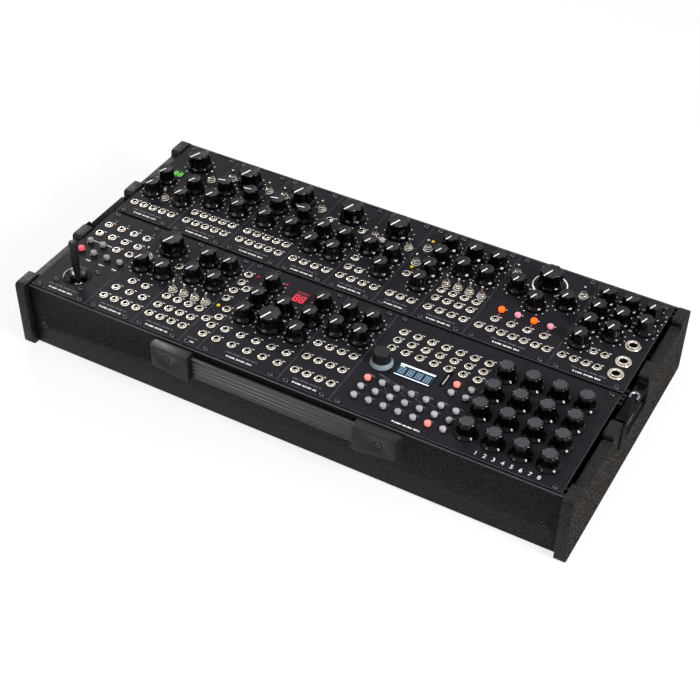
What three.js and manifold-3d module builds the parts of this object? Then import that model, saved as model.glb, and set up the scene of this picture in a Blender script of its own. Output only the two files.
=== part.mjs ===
// A modular synthesizer: two rows of front panels in a portable case with stepped
// end cheeks, side latches and a strap handle. Millimetres, +Z up, +Y to the back.
import * as THREE from 'three';
import { mergeVertices } from 'three/addons/utils/BufferGeometryUtils.js';
import Module from 'manifold-3d';

const wasm = await Module();
wasm.setup();

// Panels and rows. One hp is the unit that panel widths are counted in.
const hp = 5.08;
const rowHp = 104;
const panelHeight = 128.5;
const panelThickness = 2;
const panelGap = 0.36;
const rowGap = 3.96;
const panelTop = 69.5;
const seatGap = 0.3;
const overrun = 1;

// Boards behind the panels
const boardDepth = 14;
const boardThickness = 1.6;
const boardMargin = 14;
const boardSideMargin = 2;
const postSize = 4;

// Screws, jacks, lamps and displays
const screwInset = 3;
const screwSide = 7.5;
const screwUnits = 3;
const screwRadius = 2.8;
const screwHeight = 1.4;
const jackRadius = 4.1;
const jackHeight = 2;
const bigJackRadius = 7.3;
const bigJackHeight = 2.6;
const bigJackBore = 3.3;
const bigJackSleeve = 5.4;
const lampRadius = 1.7;
const lampHeight = 1;
const displayHeight = 0.8;

// Knobs, toggles and buttons
const knobGap = 0.5;
const knobRadius = 9.5;
const knobHeight = 14.5;
const bigKnobRadius = 12.7;
const bigKnobHeight = 17;
const encoderRadius = 10.5;
const encoderHeight = 15;
const skirtHeight = 3.6;
const shaftRadius = 3;
const shaftLength = 11;
const toggleRadius = 3.6;
const toggleHeight = 3.2;
const leverRadius = 1.3;
const leverLength = 10;
const leverReach = 7;
const leverLean = 12;
const leverHole = 2.9;
const buttonSize = 6.2;
const buttonHeight = 3.6;
const buttonStem = 7;
const buttonStemSize = 3.4;
const buttonTravel = 1;

// Joystick
const bowlRadius = 12.7;
const bowlDepth = 8;
const bowlThroat = 7.5;
const bowlWall = 1.3;
const gimbalDepth = 14.6;
const gimbalRadius = 9;
const gimbalInner = 5.6;
const gimbalHeight = 3;
const gimbalPin = 1.1;
const gimbalPinReach = 3;
const stickTop = 40;
const stickTopRadius = 4.9;
const stickWideHeight = 31;
const stickWideRadius = 5.3;
const stickNeckRadius = 2.7;
const stickTail = 3;
const stickEndRise = 1;
const earThickness = 3;
const earWidth = 6;

// Rails
const railWidth = 10;
const railHeight = 8;
const railOverhang = 1.3;
const railSlotWidth = 3.4;
const railSlotDepth = 4;

// Case walls and cheeks
const leftBayGap = 1;
const rightBayGap = 3.2;
const wallGap = 1.5;
const wallThickness = 2;
const wallGroundGap = 2.5;
const wallFastenerRadius = 3.5;
const wallFastenerHeight = 1;
const wallFastenerLeftInset = 11.5;
const wallFastenerRightInset = 8.3;
const wallFastenerDrop = 43;
const cheekThickness = 10.5;
const cheekFrontProud = 5.5;
const cheekRearProud = 1;
const blockProud = 1.5;
const lowDrop = 6;
const cheekRound = 4;

// Side latches
const latchPlateDrop = 5;
const latchPlate = 1.5;
const latchDepth = 6.5;
const latchLength = 53;
const latchHeight = 22;
const latchWall = 1.5;
const latchFlange = 0.7;
const latchFlangeReach = 11;
const latchFlangeTop = 1;
const latchFlangeDrop = 31;
const leverPlate = 1.5;
const leverBarrel = 1.6;
const leverPlateDrop = 9;
const leverClearance = 0.6;
const tongueWidth = 15;
const tongueHeight = 4;
const tongueProud = 1.2;

// Strap handle
const capProud = 11;
const capTopDrop = 2;
const capInnerDrop = 30;
const capOuterDrop = 24.5;
const leftCapLength = 42;
const rightCapLength = 44.5;
const capFlare = 4;
const capDishRadius = 6.5;
const capDishDepth = 2;
const capScrewDrop = 1;
const capInnerRound = 1;
const capScrewRadius = 3.2;
const strapLength = 164.5;
const strapTopDrop = 5;
const strapWidth = 21.5;
const strapThickness = 5;
const strapWallGap = 2;
const strapTuck = 12;
const strapRibs = 5;
const strapRibDepth = 0.8;
const lugLength = 8;
const lugHeight = 12;

// Rear power inlet, rocker and power board
const inletWidth = 48;
const inletHeight = 27;
const inletFlange = 3;
const inletFlangeThickness = 1.5;
const inletDepth = 20;
const inletWall = 2;
const plugWidth = 24;
const rockerWidth = 13;
const rockerDepth = 6;
const rockerLean = 10;
const rockerProud = 1.2;
const rockerPinRadius = 1.1;
const boardLength = 380;
const powerBoardWidth = 90;
const powerBoardFoot = 5;
const headerLength = 20;
const headerWidth = 8;
const headerHeight = 9;

// Places along the case, as shares
const cheekStepShares = [0, 0.084, 0.313, 0.39, 0.616, 0.696, 0.918, 1];
const handleMiddleShare = 0.499;
const latchMiddleShare = 0.512;
const inletMiddleShare = 0.13;
const inletDropShare = 0.5;
const headerShares = [-0.36, -0.18, 0, 0.18, 0.36];
const headerRowShares = [-0.25, 0.25];
const lugShares = [0.2, 0.34];

// How the control shapes taper and are divided
const knobBodyShare = 0.72;
const knobTopShare = 0.66;
const leverFootShare = 0.8;
const capScrewShare = 0.56;
const stickEndShare = 0.7;
const knobSides = 10;
const bigKnobSides = 12;
const nutSides = 6;
const jackSides = 8;
const pinSides = 8;
const boreSides = 12;
const bowlSides = 12;
const cornerSteps = 3;

// Widths and depths worked out from the sizes above
const rowWidth = rowHp * hp;
const rowPitch = panelHeight + rowGap;
const rowsDepth = rowPitch + panelHeight;
const bayLeft = -leftBayGap;
const bayRight = rowWidth + rightBayGap;
const frontWallInner = -wallGap;
const frontWallOuter = frontWallInner - wallThickness;
const rearWallInner = rowsDepth + wallGap;
const rearWallOuter = rearWallInner + wallThickness;
const wallBottom = wallGroundGap - panelTop;
const cheekFront = frontWallOuter - cheekFrontProud;
const cheekRear = rearWallOuter + cheekRearProud;
const cheekDepth = cheekRear - cheekFront;
const innerLeft = bayLeft + seatGap;
const innerRight = bayRight - seatGap;
const bayMiddle = (bayLeft + bayRight) / 2;
const capFront = frontWallOuter - capProud;
const inletRear = rearWallOuter + seatGap + inletFlangeThickness;

// Columns and rows that several modules share
const fourColumnShares = [0.146, 0.382, 0.618, 0.854];
const fiveColumnShares = [0.143, 0.3215, 0.5, 0.6785, 0.857];
const pairShares = [0.264, 0.736];
const bottomRowShare = 0.145;
const secondRowShare = 0.26;
const thirdRowShare = 0.358;
const switchRowShare = 0.438;

const grid = (columnShares, rowShares) =>
  rowShares.flatMap((rowShare) => columnShares.map((columnShare) => [columnShare, rowShare]));
const spread = (count, firstShare, stepShare) =>
  Array.from({ length: count }, (_, index) => firstShare + index * stepShare);

// Every module, from left to right in each row, with its controls as shares of the
// panel's width and height. A module's knobs and toggles that turn are named in `moving`.
const modules = [
  {
    name: 'joystick_module', row: 0, start: 0, width: 12, joystickShares: [0.508, 0.23],
    jackShares: [...grid([0.155, 0.4, 0.645, 0.89], [0.837, 0.72]), [0.645, 0.613], [0.89, 0.613]],
    buttonShares: [[0.172, 0.6], [0.41, 0.6], ...grid([0.172, 0.41, 0.656, 0.9], [0.488])],
    lampShares: grid([0.21, 0.456, 0.695, 0.94], [0.897]),
    moving: { buttons: 'joystick_button' },
  },
  {
    name: 'envelope_module', row: 0, start: 12, width: 10, bigKnobShares: [[0.5, 0.816]],
    knobShares: grid([0.27, 0.745], [0.549]), toggleShares: [[0.197, 0.669]],
    jackShares: [[0.866, 0.68], [0.368, 0.374], [0.66, 0.374],
      ...grid([0.217, 0.512, 0.8], [secondRowShare]),
      ...grid([0.157, 0.394, 0.63, 0.866], [bottomRowShare])],
    moving: { bigKnobs: 'envelope_knob' },
  },
  {
    name: 'mixer_module', row: 0, start: 22, width: 10, knobShares: grid(pairShares, [0.829, 0.624]),
    toggleShares: grid(fourColumnShares, [switchRowShare]),
    jackShares: grid(fourColumnShares, [thirdRowShare, 0.25, bottomRowShare]),
  },
  {
    name: 'multiple_module', row: 0, start: 32, width: 4,
    jackShares: [...grid([0.251], [0.851, 0.751, 0.647, 0.549, 0.293]),
      ...grid([0.709], [0.703, 0.447, 0.348, 0.249, bottomRowShare])],
    lampShares: [[0.22, 0.458], [0.718, 0.867]],
  },
  {
    name: 'effects_module', row: 0, start: 36, width: 16, bigKnobShares: [[0.5, 0.44]],
    knobShares: [...grid([0.165, 0.835], [0.811, 0.625, 0.434]), [0.5, 0.625]],
    displays: [{ middleShares: [0.536, 0.814], sizeShares: [0.17, 0.127] }],
    jackShares: grid([0.098, 0.298, 0.495, 0.689, 0.881], [secondRowShare, bottomRowShare]),
    lampShares: [[0.282, 0.891]], moving: { bigKnobs: 'effects_knob' },
  },
  {
    name: 'attenuator_module', row: 0, start: 52, width: 10, knobShares: grid(pairShares, [0.812, 0.626]),
    jackShares: grid(fourColumnShares, [0.455, 0.299, bottomRowShare]),
  },
  {
    name: 'sequencer_module', row: 0, start: 62, width: 42, encoderShares: [0.082, 0.49],
    knobShares: grid([0.555, 0.671, 0.786, 0.901], [0.784, 0.575, 0.375, 0.171]),
    buttonShares: [...grid([0.406, 0.471], [0.5425, 0.454]),
      ...grid(spread(7, 0.0765, 0.0656), [0.311, 0.2145, 0.1205])],
    displays: [{ middleShares: [0.2317, 0.5005], sizeShares: [0.164, 0.125] }],
    jackShares: grid(spread(7, 0.073, 0.0653), [0.846, 0.752, 0.661]),
  },
  {
    name: 'voice_module', row: 1, start: 0, width: 12, bigKnobShares: [[0.5, 0.79]],
    knobShares: grid([0.238, 0.8], [0.509, 0.325]), toggleShares: [[0.886, 0.68], [0.508, 0.3]],
    displays: [{ middleShares: [0.307, 0.63], sizeShares: [0.2, 0.085] }],
    jackShares: grid(fiveColumnShares, [bottomRowShare]), moving: { bigKnobs: 'voice_knob' },
  },
  ...['oscillator_a', 'oscillator_b'].map((title, index) => ({
    name: `${title}_module`, row: 1, start: 12 + index * 12, width: 12, bigKnobShares: [[0.5, 0.786]],
    knobShares: grid([0.262, 0.755], [0.606, 0.421]), toggleShares: grid([0.164, 0.874], [0.776]),
    jackShares: grid(fiveColumnShares, [secondRowShare, bottomRowShare]),
    moving: {
      bigKnobs: `${title}_knob`, toggles: `${title}_toggle`, knobs: index ? null : `${title}_small_knob`,
    },
  })),
  {
    name: 'filter_a_module', row: 1, start: 36, width: 10, bigKnobShares: [[0.5, 0.79]],
    knobShares: grid(pairShares, [0.513, 0.326]),
    jackShares: [...grid([0.138, 0.85], [0.689]), ...grid(fourColumnShares, [bottomRowShare])],
    moving: { bigKnobs: 'filter_a_knob' },
  },
  {
    name: 'filter_b_module', row: 1, start: 46, width: 10, bigKnobShares: [[0.5, 0.79]],
    knobShares: [...grid(pairShares, [0.513]), [0.736, 0.326]], toggleShares: grid([0.146, 0.86], [0.68]),
    buttonShares: [[0.326, 0.6525]],
    jackShares: [[0.148, 0.377], ...grid([0.148, 0.382], [secondRowShare]),
      ...grid(fourColumnShares, [bottomRowShare])],
    moving: { bigKnobs: 'filter_b_knob' },
  },
  {
    name: 'utility_module', row: 1, start: 56, width: 8,
    knobShares: grid([0.677], [0.833, 0.665, 0.489, 0.321]),
    toggleShares: grid([0.231], [0.738, 0.549]), lampShares: grid([0.214], [0.84, 0.493]),
    jackShares: [[0.221, 0.402], ...grid([0.221, 0.497, 0.775], [bottomRowShare])],
  },
  {
    name: 'level_module', row: 1, start: 64, width: 10, knobShares: grid(pairShares, [0.819, 0.618]),
    toggleShares: grid(fourColumnShares, [switchRowShare]),
    jackShares: grid(fourColumnShares, [thirdRowShare, secondRowShare, bottomRowShare]),
  },
  {
    name: 'logic_module', row: 1, start: 74, width: 16, bigKnobShares: [[0.5, 0.802]],
    knobShares: [...grid([0.203, 0.8], [0.644]), [0.5, 0.527]], toggleShares: grid([0.09, 0.908], [0.8]),
    buttonShares: grid(spread(4, 0.21, 0.196), [0.366]),
    jackShares: [...grid(spread(4, 0.206, 0.196), [secondRowShare]),
      ...grid(spread(7, 0.094, 0.1353), [bottomRowShare])],
    moving: { bigKnobs: 'logic_knob' },
  },
  {
    name: 'output_module', row: 1, start: 90, width: 14,
    bigJackShares: grid([0.8015], [0.467, 0.283, 0.142]),
    knobShares: [...grid([0.191, 0.503, 0.821], [0.831, 0.661]),
      ...grid([0.191, 0.503], [0.489]), [0.191, 0.317]],
    jackShares: [...grid([0.408, 0.557], [0.283]), ...grid([0.094, 0.252, 0.408, 0.557], [bottomRowShare])],
  },
];

// Materials
const finish = (color, roughness, metalness) =>
  new THREE.MeshStandardMaterial({ color, roughness, metalness });
const panelFinish = finish(0x232226, 0.62, 0.1);
const wallFinish = finish(0x1b1c20, 0.55, 0);
const cheekFinish = finish(0x4a4540, 0.8, 0);
const railFinish = finish(0x9a9b9e, 0.4, 0.9);
const latchFinish = finish(0x6d6a68, 0.25, 1);
const rubberFinish = finish(0x121214, 0.6, 0);
const knobFinish = finish(0x0c0c0d, 0.3, 0);
const nickelFinish = finish(0xb9b7b0, 0.3, 1);
const buttonFinish = finish(0xcfcfcc, 0.5, 0);
const boardFinish = finish(0x1e4a33, 0.6, 0);

// A closed geometry as a solid that can be joined and cut
function solid(geometry) {
  const bare = geometry.index ? geometry : geometry.clone();
  bare.deleteAttribute('normal');
  bare.deleteAttribute('uv');
  const merged = mergeVertices(bare);
  return new wasm.Manifold(new wasm.Mesh({
    numProp: 3,
    vertProperties: new Float32Array(merged.attributes.position.array),
    triVerts: new Uint32Array(merged.index.array),
  }));
}

const join = (solids) => solids.reduce((whole, piece) => whole.add(piece));
const cut = (body, solids) => solids.reduce((whole, piece) => whole.subtract(piece), body);

function meshOf(name, body, material) {
  const { vertProperties, triVerts } = body.getMesh();
  const geometry = new THREE.BufferGeometry();
  geometry.setAttribute('position', new THREE.BufferAttribute(vertProperties, 3));
  geometry.setIndex(new THREE.BufferAttribute(triVerts, 1));
  geometry.computeVertexNormals();
  const mesh = new THREE.Mesh(geometry, material);
  mesh.name = name;
  return mesh;
}

// A box between two values on each axis
function box([x0, x1], [y0, y1], [z0, z1]) {
  const geometry = new THREE.BoxGeometry(x1 - x0, y1 - y0, z1 - z0);
  geometry.translate((x0 + x1) / 2, (y0 + y1) / 2, (z0 + z1) / 2);
  return solid(geometry);
}

const about = (middle, size) => [middle - size / 2, middle + size / 2];
const ordered = (one, other) => [Math.min(one, other), Math.max(one, other)];

// An upright shape turned from a profile of [radius, height] points
function turned(profile, sides, x = 0, y = 0) {
  const points = profile.map(([radius, height]) => new THREE.Vector2(radius, height));
  const geometry = new THREE.LatheGeometry(points, sides);
  geometry.rotateX(Math.PI / 2);
  geometry.translate(x, y, 0);
  return solid(geometry);
}

const upright = (radius, z0, z1, sides, x, y) =>
  turned([[0, z0], [radius, z0], [radius, z1], [0, z1]], sides, x, y);

// A cylinder between two values along X or Y
function lying(axis, radius, from, to, sides, place) {
  const geometry = new THREE.CylinderGeometry(radius, radius, to - from, sides);
  if (axis === 'x') geometry.rotateZ(Math.PI / 2);
  const middle = (from + to) / 2;
  geometry.translate(axis === 'x' ? middle : place[0], axis === 'y' ? middle : place[0], place[1]);
  return solid(geometry);
}

// An outline whose corners are rounded by a radius each
function roundedOutline(corners) {
  const shape = new THREE.Shape();
  corners.forEach(([x, y, radius], index) => {
    const here = new THREE.Vector2(x, y);
    const [beforeX, beforeY] = corners.at(index - 1);
    const [afterX, afterY] = corners[(index + 1) % corners.length];
    const back = new THREE.Vector2(beforeX, beforeY).sub(here);
    const ahead = new THREE.Vector2(afterX, afterY).sub(here);
    const reach = Math.min(radius, back.length() / 2, ahead.length() / 2);
    const enter = here.clone().addScaledVector(back.normalize(), reach);
    const leave = here.clone().addScaledVector(ahead.normalize(), reach);
    if (index) shape.lineTo(enter.x, enter.y);
    else shape.moveTo(enter.x, enter.y);
    if (reach > 0) shape.quadraticCurveTo(here.x, here.y, leave.x, leave.y);
  });
  shape.closePath();
  return shape;
}

const drawnOut = (shape, depth) =>
  new THREE.ExtrudeGeometry(shape, { depth, bevelEnabled: false, curveSegments: cornerSteps });

// An outline drawn in X and Z, drawn out between two values of Y
function standing(shape, y0, y1) {
  const geometry = drawnOut(shape, y1 - y0);
  geometry.rotateX(Math.PI / 2);
  geometry.translate(0, y1, 0);
  return solid(geometry);
}

// An outline drawn in Y and Z, drawn out between two values of X
function sideways(shape, x0, x1) {
  const geometry = drawnOut(shape, x1 - x0);
  geometry.rotateY(Math.PI / 2);
  geometry.rotateX(Math.PI / 2);
  geometry.translate(x0, 0, 0);
  return solid(geometry);
}

// Fixed controls start inside the panel, and turning ones stand clear above it
const rooted = -panelThickness / 2;

function knob(radius, height, foot, sides, x, y) {
  const profile = [[0, foot], [radius, foot], [radius * knobBodyShare, skirtHeight],
    [radius * knobTopShare, height], [0, height]];
  return turned(profile, sides, x, y);
}

function turningKnob(name, radius, height, sides, x, y) {
  const shaft = upright(shaftRadius, knobGap - shaftLength, knobGap + skirtHeight / 2, knobSides, 0, 0);
  const cap = knob(radius, height, knobGap, sides, 0, 0);
  const mesh = meshOf(name, join([cap, shaft]), knobFinish);
  mesh.position.set(x, y, 0);
  return mesh;
}

// A toggle's threaded collar, and the lever that leans out of it
const collar = (x, y) => upright(toggleRadius, rooted, toggleHeight, nutSides, x, y);

function leverShape() {
  const footRadius = leverRadius * leverFootShare;
  const profile = [[0, -leverReach], [footRadius, -leverReach], [leverRadius, leverLength], [0, leverLength]];
  return turned(profile, nutSides);
}

function leaningLever(x, y) {
  return leverShape().rotate([-leverLean, 0, 0]).translate([x, y, 0]);
}

const squareUp = (size, [z0, z1], x, y) => box(about(x, size), about(y, size), [z0, z1]);

// The joystick's bowl with the two ears under it, and the space inside them
function bowl(x, y) {
  const bowlBottom = -bowlDepth - bowlWall;
  const outerRim = bowlRadius + bowlWall;
  const shell = turned([[0, bowlBottom], [bowlThroat + bowlWall, bowlBottom], [outerRim, -panelThickness],
    [outerRim, rooted], [0, rooted]], bowlSides, x, y);
  const hollow = turned([[0, bowlBottom - overrun], [bowlThroat, bowlBottom - overrun],
    [bowlThroat, -bowlDepth], [bowlRadius, 0], [bowlRadius, overrun], [0, overrun]], bowlSides, x, y);
  const earMiddle = gimbalRadius + gimbalPinReach + seatGap - earThickness / 2;
  const earZ = [-gimbalDepth - earWidth / 2, rooted];
  const ears = [-1, 1].map((side) => box(about(x + side * earMiddle, earThickness), about(y, earWidth), earZ));
  const pinReach = earMiddle + earThickness;
  const pinHole = lying('x', gimbalPin + seatGap, x - pinReach, x + pinReach, pinSides, [y, -gimbalDepth]);
  return { solids: [shell, ...ears], spaces: [hollow, pinHole] };
}

// Module pieces: the panel, its board and everything that is fixed to them
const parts = new THREE.Group();

const numbered = (title, index, count) => (count > 1 ? `${title}_${index + 1}` : title);

function addModule(module) {
  const left = module.start * hp + panelGap / 2;
  const width = module.width * hp - panelGap;
  const front = module.row * rowPitch;
  const placeOf = ([xShare, yShare]) => [left + xShare * width, front + yShare * panelHeight];
  const moving = module.moving ?? {};
  const added = [];
  const holes = [];
  const turning = [];

  const plate = box([left, left + width], [front, front + panelHeight], [-panelThickness, 0]);
  const boardFront = front + (module.joystickShares ? panelHeight * switchRowShare : boardMargin);
  const boardBack = front + panelHeight - boardMargin;
  const board = box([left + boardSideMargin, left + width - boardSideMargin], [boardFront, boardBack],
    [-boardDepth - boardThickness, -boardDepth]);
  for (const y of [boardFront + postSize / 2, boardBack - postSize / 2]) {
    added.push(squareUp(postSize, [-boardDepth - boardThickness / 2, rooted], left + width / 2, y));
  }

  const screwSpan = (module.width - screwUnits) * hp;
  for (const x of screwSpan > screwSide ? [screwSide, screwSide + screwSpan] : [screwSide]) {
    for (const y of [screwInset, panelHeight - screwInset]) {
      added.push(upright(screwRadius, rooted, screwHeight, nutSides, left + x, front + y));
    }
  }

  for (const [x, y] of (module.jackShares ?? []).map(placeOf)) {
    added.push(upright(jackRadius, rooted, jackHeight, jackSides, x, y));
  }
  for (const [x, y] of (module.bigJackShares ?? []).map(placeOf)) {
    added.push(upright(bigJackRadius, rooted, bigJackHeight, boreSides, x, y));
    added.push(upright(bigJackSleeve, -boardDepth - boardThickness / 2, rooted, boreSides, x, y));
    holes.push(upright(bigJackBore, -boardDepth + seatGap, bigJackHeight + overrun, boreSides, x, y));
  }
  for (const [x, y] of (module.lampShares ?? []).map(placeOf)) {
    added.push(upright(lampRadius, rooted, lampHeight, nutSides, x, y));
  }
  for (const { middleShares, sizeShares } of module.displays ?? []) {
    const [x, y] = placeOf(middleShares);
    const [displayWidth, displayDepth] = [sizeShares[0] * width, sizeShares[1] * panelHeight];
    added.push(box(about(x, displayWidth), about(y, displayDepth), [rooted, displayHeight]));
  }

  const turnOrFix = (title, shares, radius, height, sides) => {
    shares.map(placeOf).forEach(([x, y], index) => {
      if (!title) {
        added.push(knob(radius, height, rooted, sides, x, y));
        return;
      }
      holes.push(upright(shaftRadius + seatGap, -panelThickness - overrun, overrun, knobSides, x, y));
      turning.push(turningKnob(numbered(title, index, shares.length), radius, height, sides, x, y));
    });
  };
  turnOrFix(moving.knobs, module.knobShares ?? [], knobRadius, knobHeight, knobSides);
  turnOrFix(moving.bigKnobs, module.bigKnobShares ?? [], bigKnobRadius, bigKnobHeight, bigKnobSides);
  if (module.encoderShares) {
    turnOrFix('sequencer_encoder_knob', [module.encoderShares], encoderRadius, encoderHeight, bigKnobSides);
  }

  (module.toggleShares ?? []).map(placeOf).forEach(([x, y], index) => {
    added.push(collar(x, y));
    if (!moving.toggles) {
      added.push(leaningLever(x, y));
      return;
    }
    holes.push(upright(leverHole, -panelThickness - overrun, toggleHeight + overrun, knobSides, x, y));
    const lever = meshOf(numbered(moving.toggles, index, module.toggleShares.length),
      leverShape().rotate([-leverLean, 0, 0]), nickelFinish);
    lever.position.set(x, y, 0);
    turning.push(lever);
  });

  (module.buttonShares ?? []).map(placeOf).forEach(([x, y], index) => {
    if (!moving.buttons) {
      added.push(squareUp(buttonSize, [rooted, buttonHeight], x, y));
      return;
    }
    holes.push(squareUp(buttonStemSize + 2 * seatGap, [-panelThickness - overrun, overrun], x, y));
    const cap = squareUp(buttonSize, [buttonTravel + seatGap, buttonHeight + buttonTravel], 0, 0);
    const stem = squareUp(buttonStemSize, [-buttonStem, buttonHeight], 0, 0);
    const title = numbered(moving.buttons, index, module.buttonShares.length);
    const button = meshOf(title, join([cap, stem]), buttonFinish);
    button.position.set(x, y, 0);
    turning.push(button);
  });

  if (module.joystickShares) {
    const place = placeOf(module.joystickShares);
    const { solids, spaces } = bowl(...place);
    added.push(...solids);
    holes.push(...spaces);
    turning.push(...joystick(...place));
  }
  parts.add(meshOf(module.name, cut(join([plate, board, ...added]), holes), panelFinish));
  turning.forEach((mesh) => parts.add(mesh));
}

// The joystick's gimbal ring on its pins, and the stick on its cross pin
function joystick(x, y) {
  const halfHeight = gimbalHeight / 2;
  const ring = turned([[gimbalInner, -halfHeight], [gimbalRadius, -halfHeight], [gimbalRadius, halfHeight],
    [gimbalInner, halfHeight], [gimbalInner, -halfHeight]], bowlSides);
  const pins = [-1, 1].map((side) => {
    const pinRoot = (gimbalInner + gimbalRadius) / 2;
    const [from, to] = ordered(side * pinRoot, side * (gimbalRadius + gimbalPinReach));
    return lying('x', gimbalPin, from, to, pinSides, [0, 0]);
  });
  const holeReach = gimbalRadius + overrun;
  const crossHole = lying('y', gimbalPin + seatGap, -holeReach, holeReach, pinSides, [0, 0]);
  const gimbal = meshOf('joystick_gimbal', join([ring, ...pins]).subtract(crossHole), nickelFinish);
  const rise = gimbalDepth;
  const stick = turned([[0, -stickTail], [stickNeckRadius, -stickTail], [stickNeckRadius, rise],
    [stickWideRadius, rise + stickWideHeight], [stickTopRadius, rise + stickTop - stickEndRise],
    [stickTopRadius * stickEndShare, rise + stickTop], [0, rise + stickTop]], bigKnobSides);
  const crossPin = lying('y', gimbalPin, -gimbalRadius, gimbalRadius, pinSides, [0, 0]);
  const lever = meshOf('joystick_stick', join([stick, crossPin]), rubberFinish);
  return [gimbal, lever].map((mesh) => {
    mesh.position.set(x, y, -gimbalDepth);
    return mesh;
  });
}

// Rails, two to a row, slotted along the top for the screws
function addRails() {
  const railTop = -panelThickness - seatGap;
  const names = [['lower_front_rail', 'lower_rear_rail'], ['upper_front_rail', 'upper_rear_rail']];
  names.forEach(([frontName, rearName], row) => {
    const front = row * rowPitch - (row ? railOverhang : 0);
    const rear = row * rowPitch + panelHeight + (row ? 0 : railOverhang) - railWidth;
    [[frontName, front], [rearName, rear]].forEach(([name, y]) => {
      const bar = box([innerLeft, innerRight], [y, y + railWidth], [railTop - railHeight, railTop]);
      const slot = box([innerLeft - overrun, innerRight + overrun], about(y + railWidth / 2, railSlotWidth),
        [railTop - railSlotDepth, railTop + overrun]);
      parts.add(meshOf(name, bar.subtract(slot), railFinish));
    });
  });
}

// Sheet walls and the bottom between them
function addWalls() {
  const wallX = [innerLeft, innerRight];
  const fastenerZ = -wallFastenerDrop;
  const headFront = frontWallOuter - wallFastenerHeight;
  const headRoot = frontWallInner - wallThickness / 2;
  const heads = [wallFastenerLeftInset, rowWidth - wallFastenerRightInset].map((x) =>
    lying('y', wallFastenerRadius, headFront, headRoot, jackSides, [x, fastenerZ]));
  const frontWall = box(wallX, [frontWallOuter, frontWallInner], [wallBottom, 0]);
  parts.add(meshOf('front_wall', join([frontWall, ...heads]), wallFinish));

  const [inletX, inletZ] = inletPlace();
  const rearWall = box(wallX, [rearWallInner, rearWallOuter], [wallBottom, 0]);
  const holeY = [rearWallInner - overrun, rearWallOuter + overrun];
  const inletHole = box(about(inletX, inletWidth + 2 * seatGap), holeY, about(inletZ, inletHeight + 2 * seatGap));
  parts.add(meshOf('rear_wall', rearWall.subtract(inletHole), wallFinish));

  const bottomY = [frontWallInner + seatGap, rearWallInner - seatGap];
  const bottom = box(wallX, bottomY, [wallBottom, wallBottom + wallThickness]);
  parts.add(meshOf('bottom_panel', bottom, wallFinish));
}

// The stepped cheek, and the pocket that its latch sits in
const notchFloor = -(latchPlateDrop + latchPlate + seatGap);
const latchMiddle = cheekFront + latchMiddleShare * cheekDepth;
const latchY = about(latchMiddle, latchLength);
const latchBottom = -latchPlateDrop - latchHeight;

function cheekOutline() {
  const tops = [blockProud, -lowDrop, blockProud, notchFloor, blockProud, -lowDrop, blockProud];
  const at = cheekStepShares.map((share) => cheekFront + share * cheekDepth);
  const corners = [[at[0], -panelTop, cheekRound]];
  tops.forEach((top, index) => {
    const raised = top === blockProud ? cheekRound : cheekRound / 2;
    corners.push([at[index], top, raised], [at[index + 1], top, raised]);
  });
  corners.push([at.at(-1), -panelTop, cheekRound]);
  return roundedOutline(corners.reverse());
}

function addCheeks() {
  for (const side of [-1, 1]) {
    const inner = side < 0 ? bayLeft : bayRight;
    const outer = inner + side * cheekThickness;
    const span = (near, far) => ordered(outer - side * near, outer - side * far);
    const name = side < 0 ? 'left' : 'right';
    const body = sideways(cheekOutline(), ...ordered(inner, outer));
    const pocket = box(span(-overrun, latchDepth + seatGap), [latchY[0] - seatGap, latchY[1] + seatGap],
      [latchBottom - seatGap, notchFloor + overrun]);
    parts.add(meshOf(`${name}_cheek`, body.subtract(pocket), cheekFinish));
    addLatch(name, side, outer, span);
  }
}

// A latch dish, and the lever that turns out of it about its lower barrel
function addLatch(name, side, outer, span) {
  const face = -seatGap - latchFlange;
  const body = box(span(face, latchDepth), latchY, [latchBottom, -latchPlateDrop]);
  const hollowY = [latchY[0] + latchWall, latchY[1] - latchWall];
  const hollowZ = [latchBottom + latchWall, -latchPlateDrop - latchPlate];
  const hollow = box(span(face - overrun, latchDepth - latchWall), hollowY, hollowZ);
  const plateZ = [-latchPlateDrop - latchPlate, -latchPlateDrop];
  const plate = box(span(0, cheekThickness - seatGap), latchY, plateZ);
  const flangeFront = latchY[0] - latchFlangeReach;
  const flange = standingFlange(span(face, face + latchFlange), flangeFront);
  parts.add(meshOf(`${name}_latch_dish`, join([body.subtract(hollow), plate, flange]), latchFinish));

  const pivotDepth = (latchDepth - latchWall) / 2;
  const pivotZ = latchBottom + latchWall + leverBarrel + leverClearance;
  const leverY = [latchY[0] + latchWall + seatGap, latchY[1] - latchWall - seatGap];
  const local = (near, far) => ordered(-side * near, -side * far);
  const rise = -leverPlateDrop - pivotZ;
  const relativeY = leverY.map((y) => y - latchMiddle);
  const paddle = box(local(-leverPlate / 2, leverPlate / 2), relativeY, [0, rise]);
  const barrel = lying('y', leverBarrel, relativeY[0], relativeY[1], pinSides, [0, 0]);
  const tongueX = local(-leverPlate / 2 - tongueProud, 0);
  const tongue = box(tongueX, about(0, tongueWidth), [rise - tongueHeight, rise]);
  const lever = meshOf(`${name}_latch_lever`, join([paddle, barrel, tongue]), latchFinish);
  lever.position.set(outer - side * pivotDepth, latchMiddle, pivotZ);
  parts.add(lever);
}

function standingFlange([x0, x1], front) {
  const back = latchY[0] + latchWall;
  return sideways(roundedOutline([
    [front, -latchFlangeTop, cheekRound], [front, -latchFlangeDrop, cheekRound],
    [back, -latchFlangeDrop, 0], [back, -latchFlangeTop, cheekRound],
  ]), x0, x1);
}

// Strap caps with dished screws, and the ribbed strap tucked into them
const strapMiddle = handleMiddleShare * rowWidth;
const strapEnds = about(strapMiddle, strapLength);
const strapBack = frontWallOuter - strapWallGap;
const strapY = [strapBack - strapThickness, strapBack];
const strapZ = [-strapTopDrop - strapWidth, -strapTopDrop];

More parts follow.
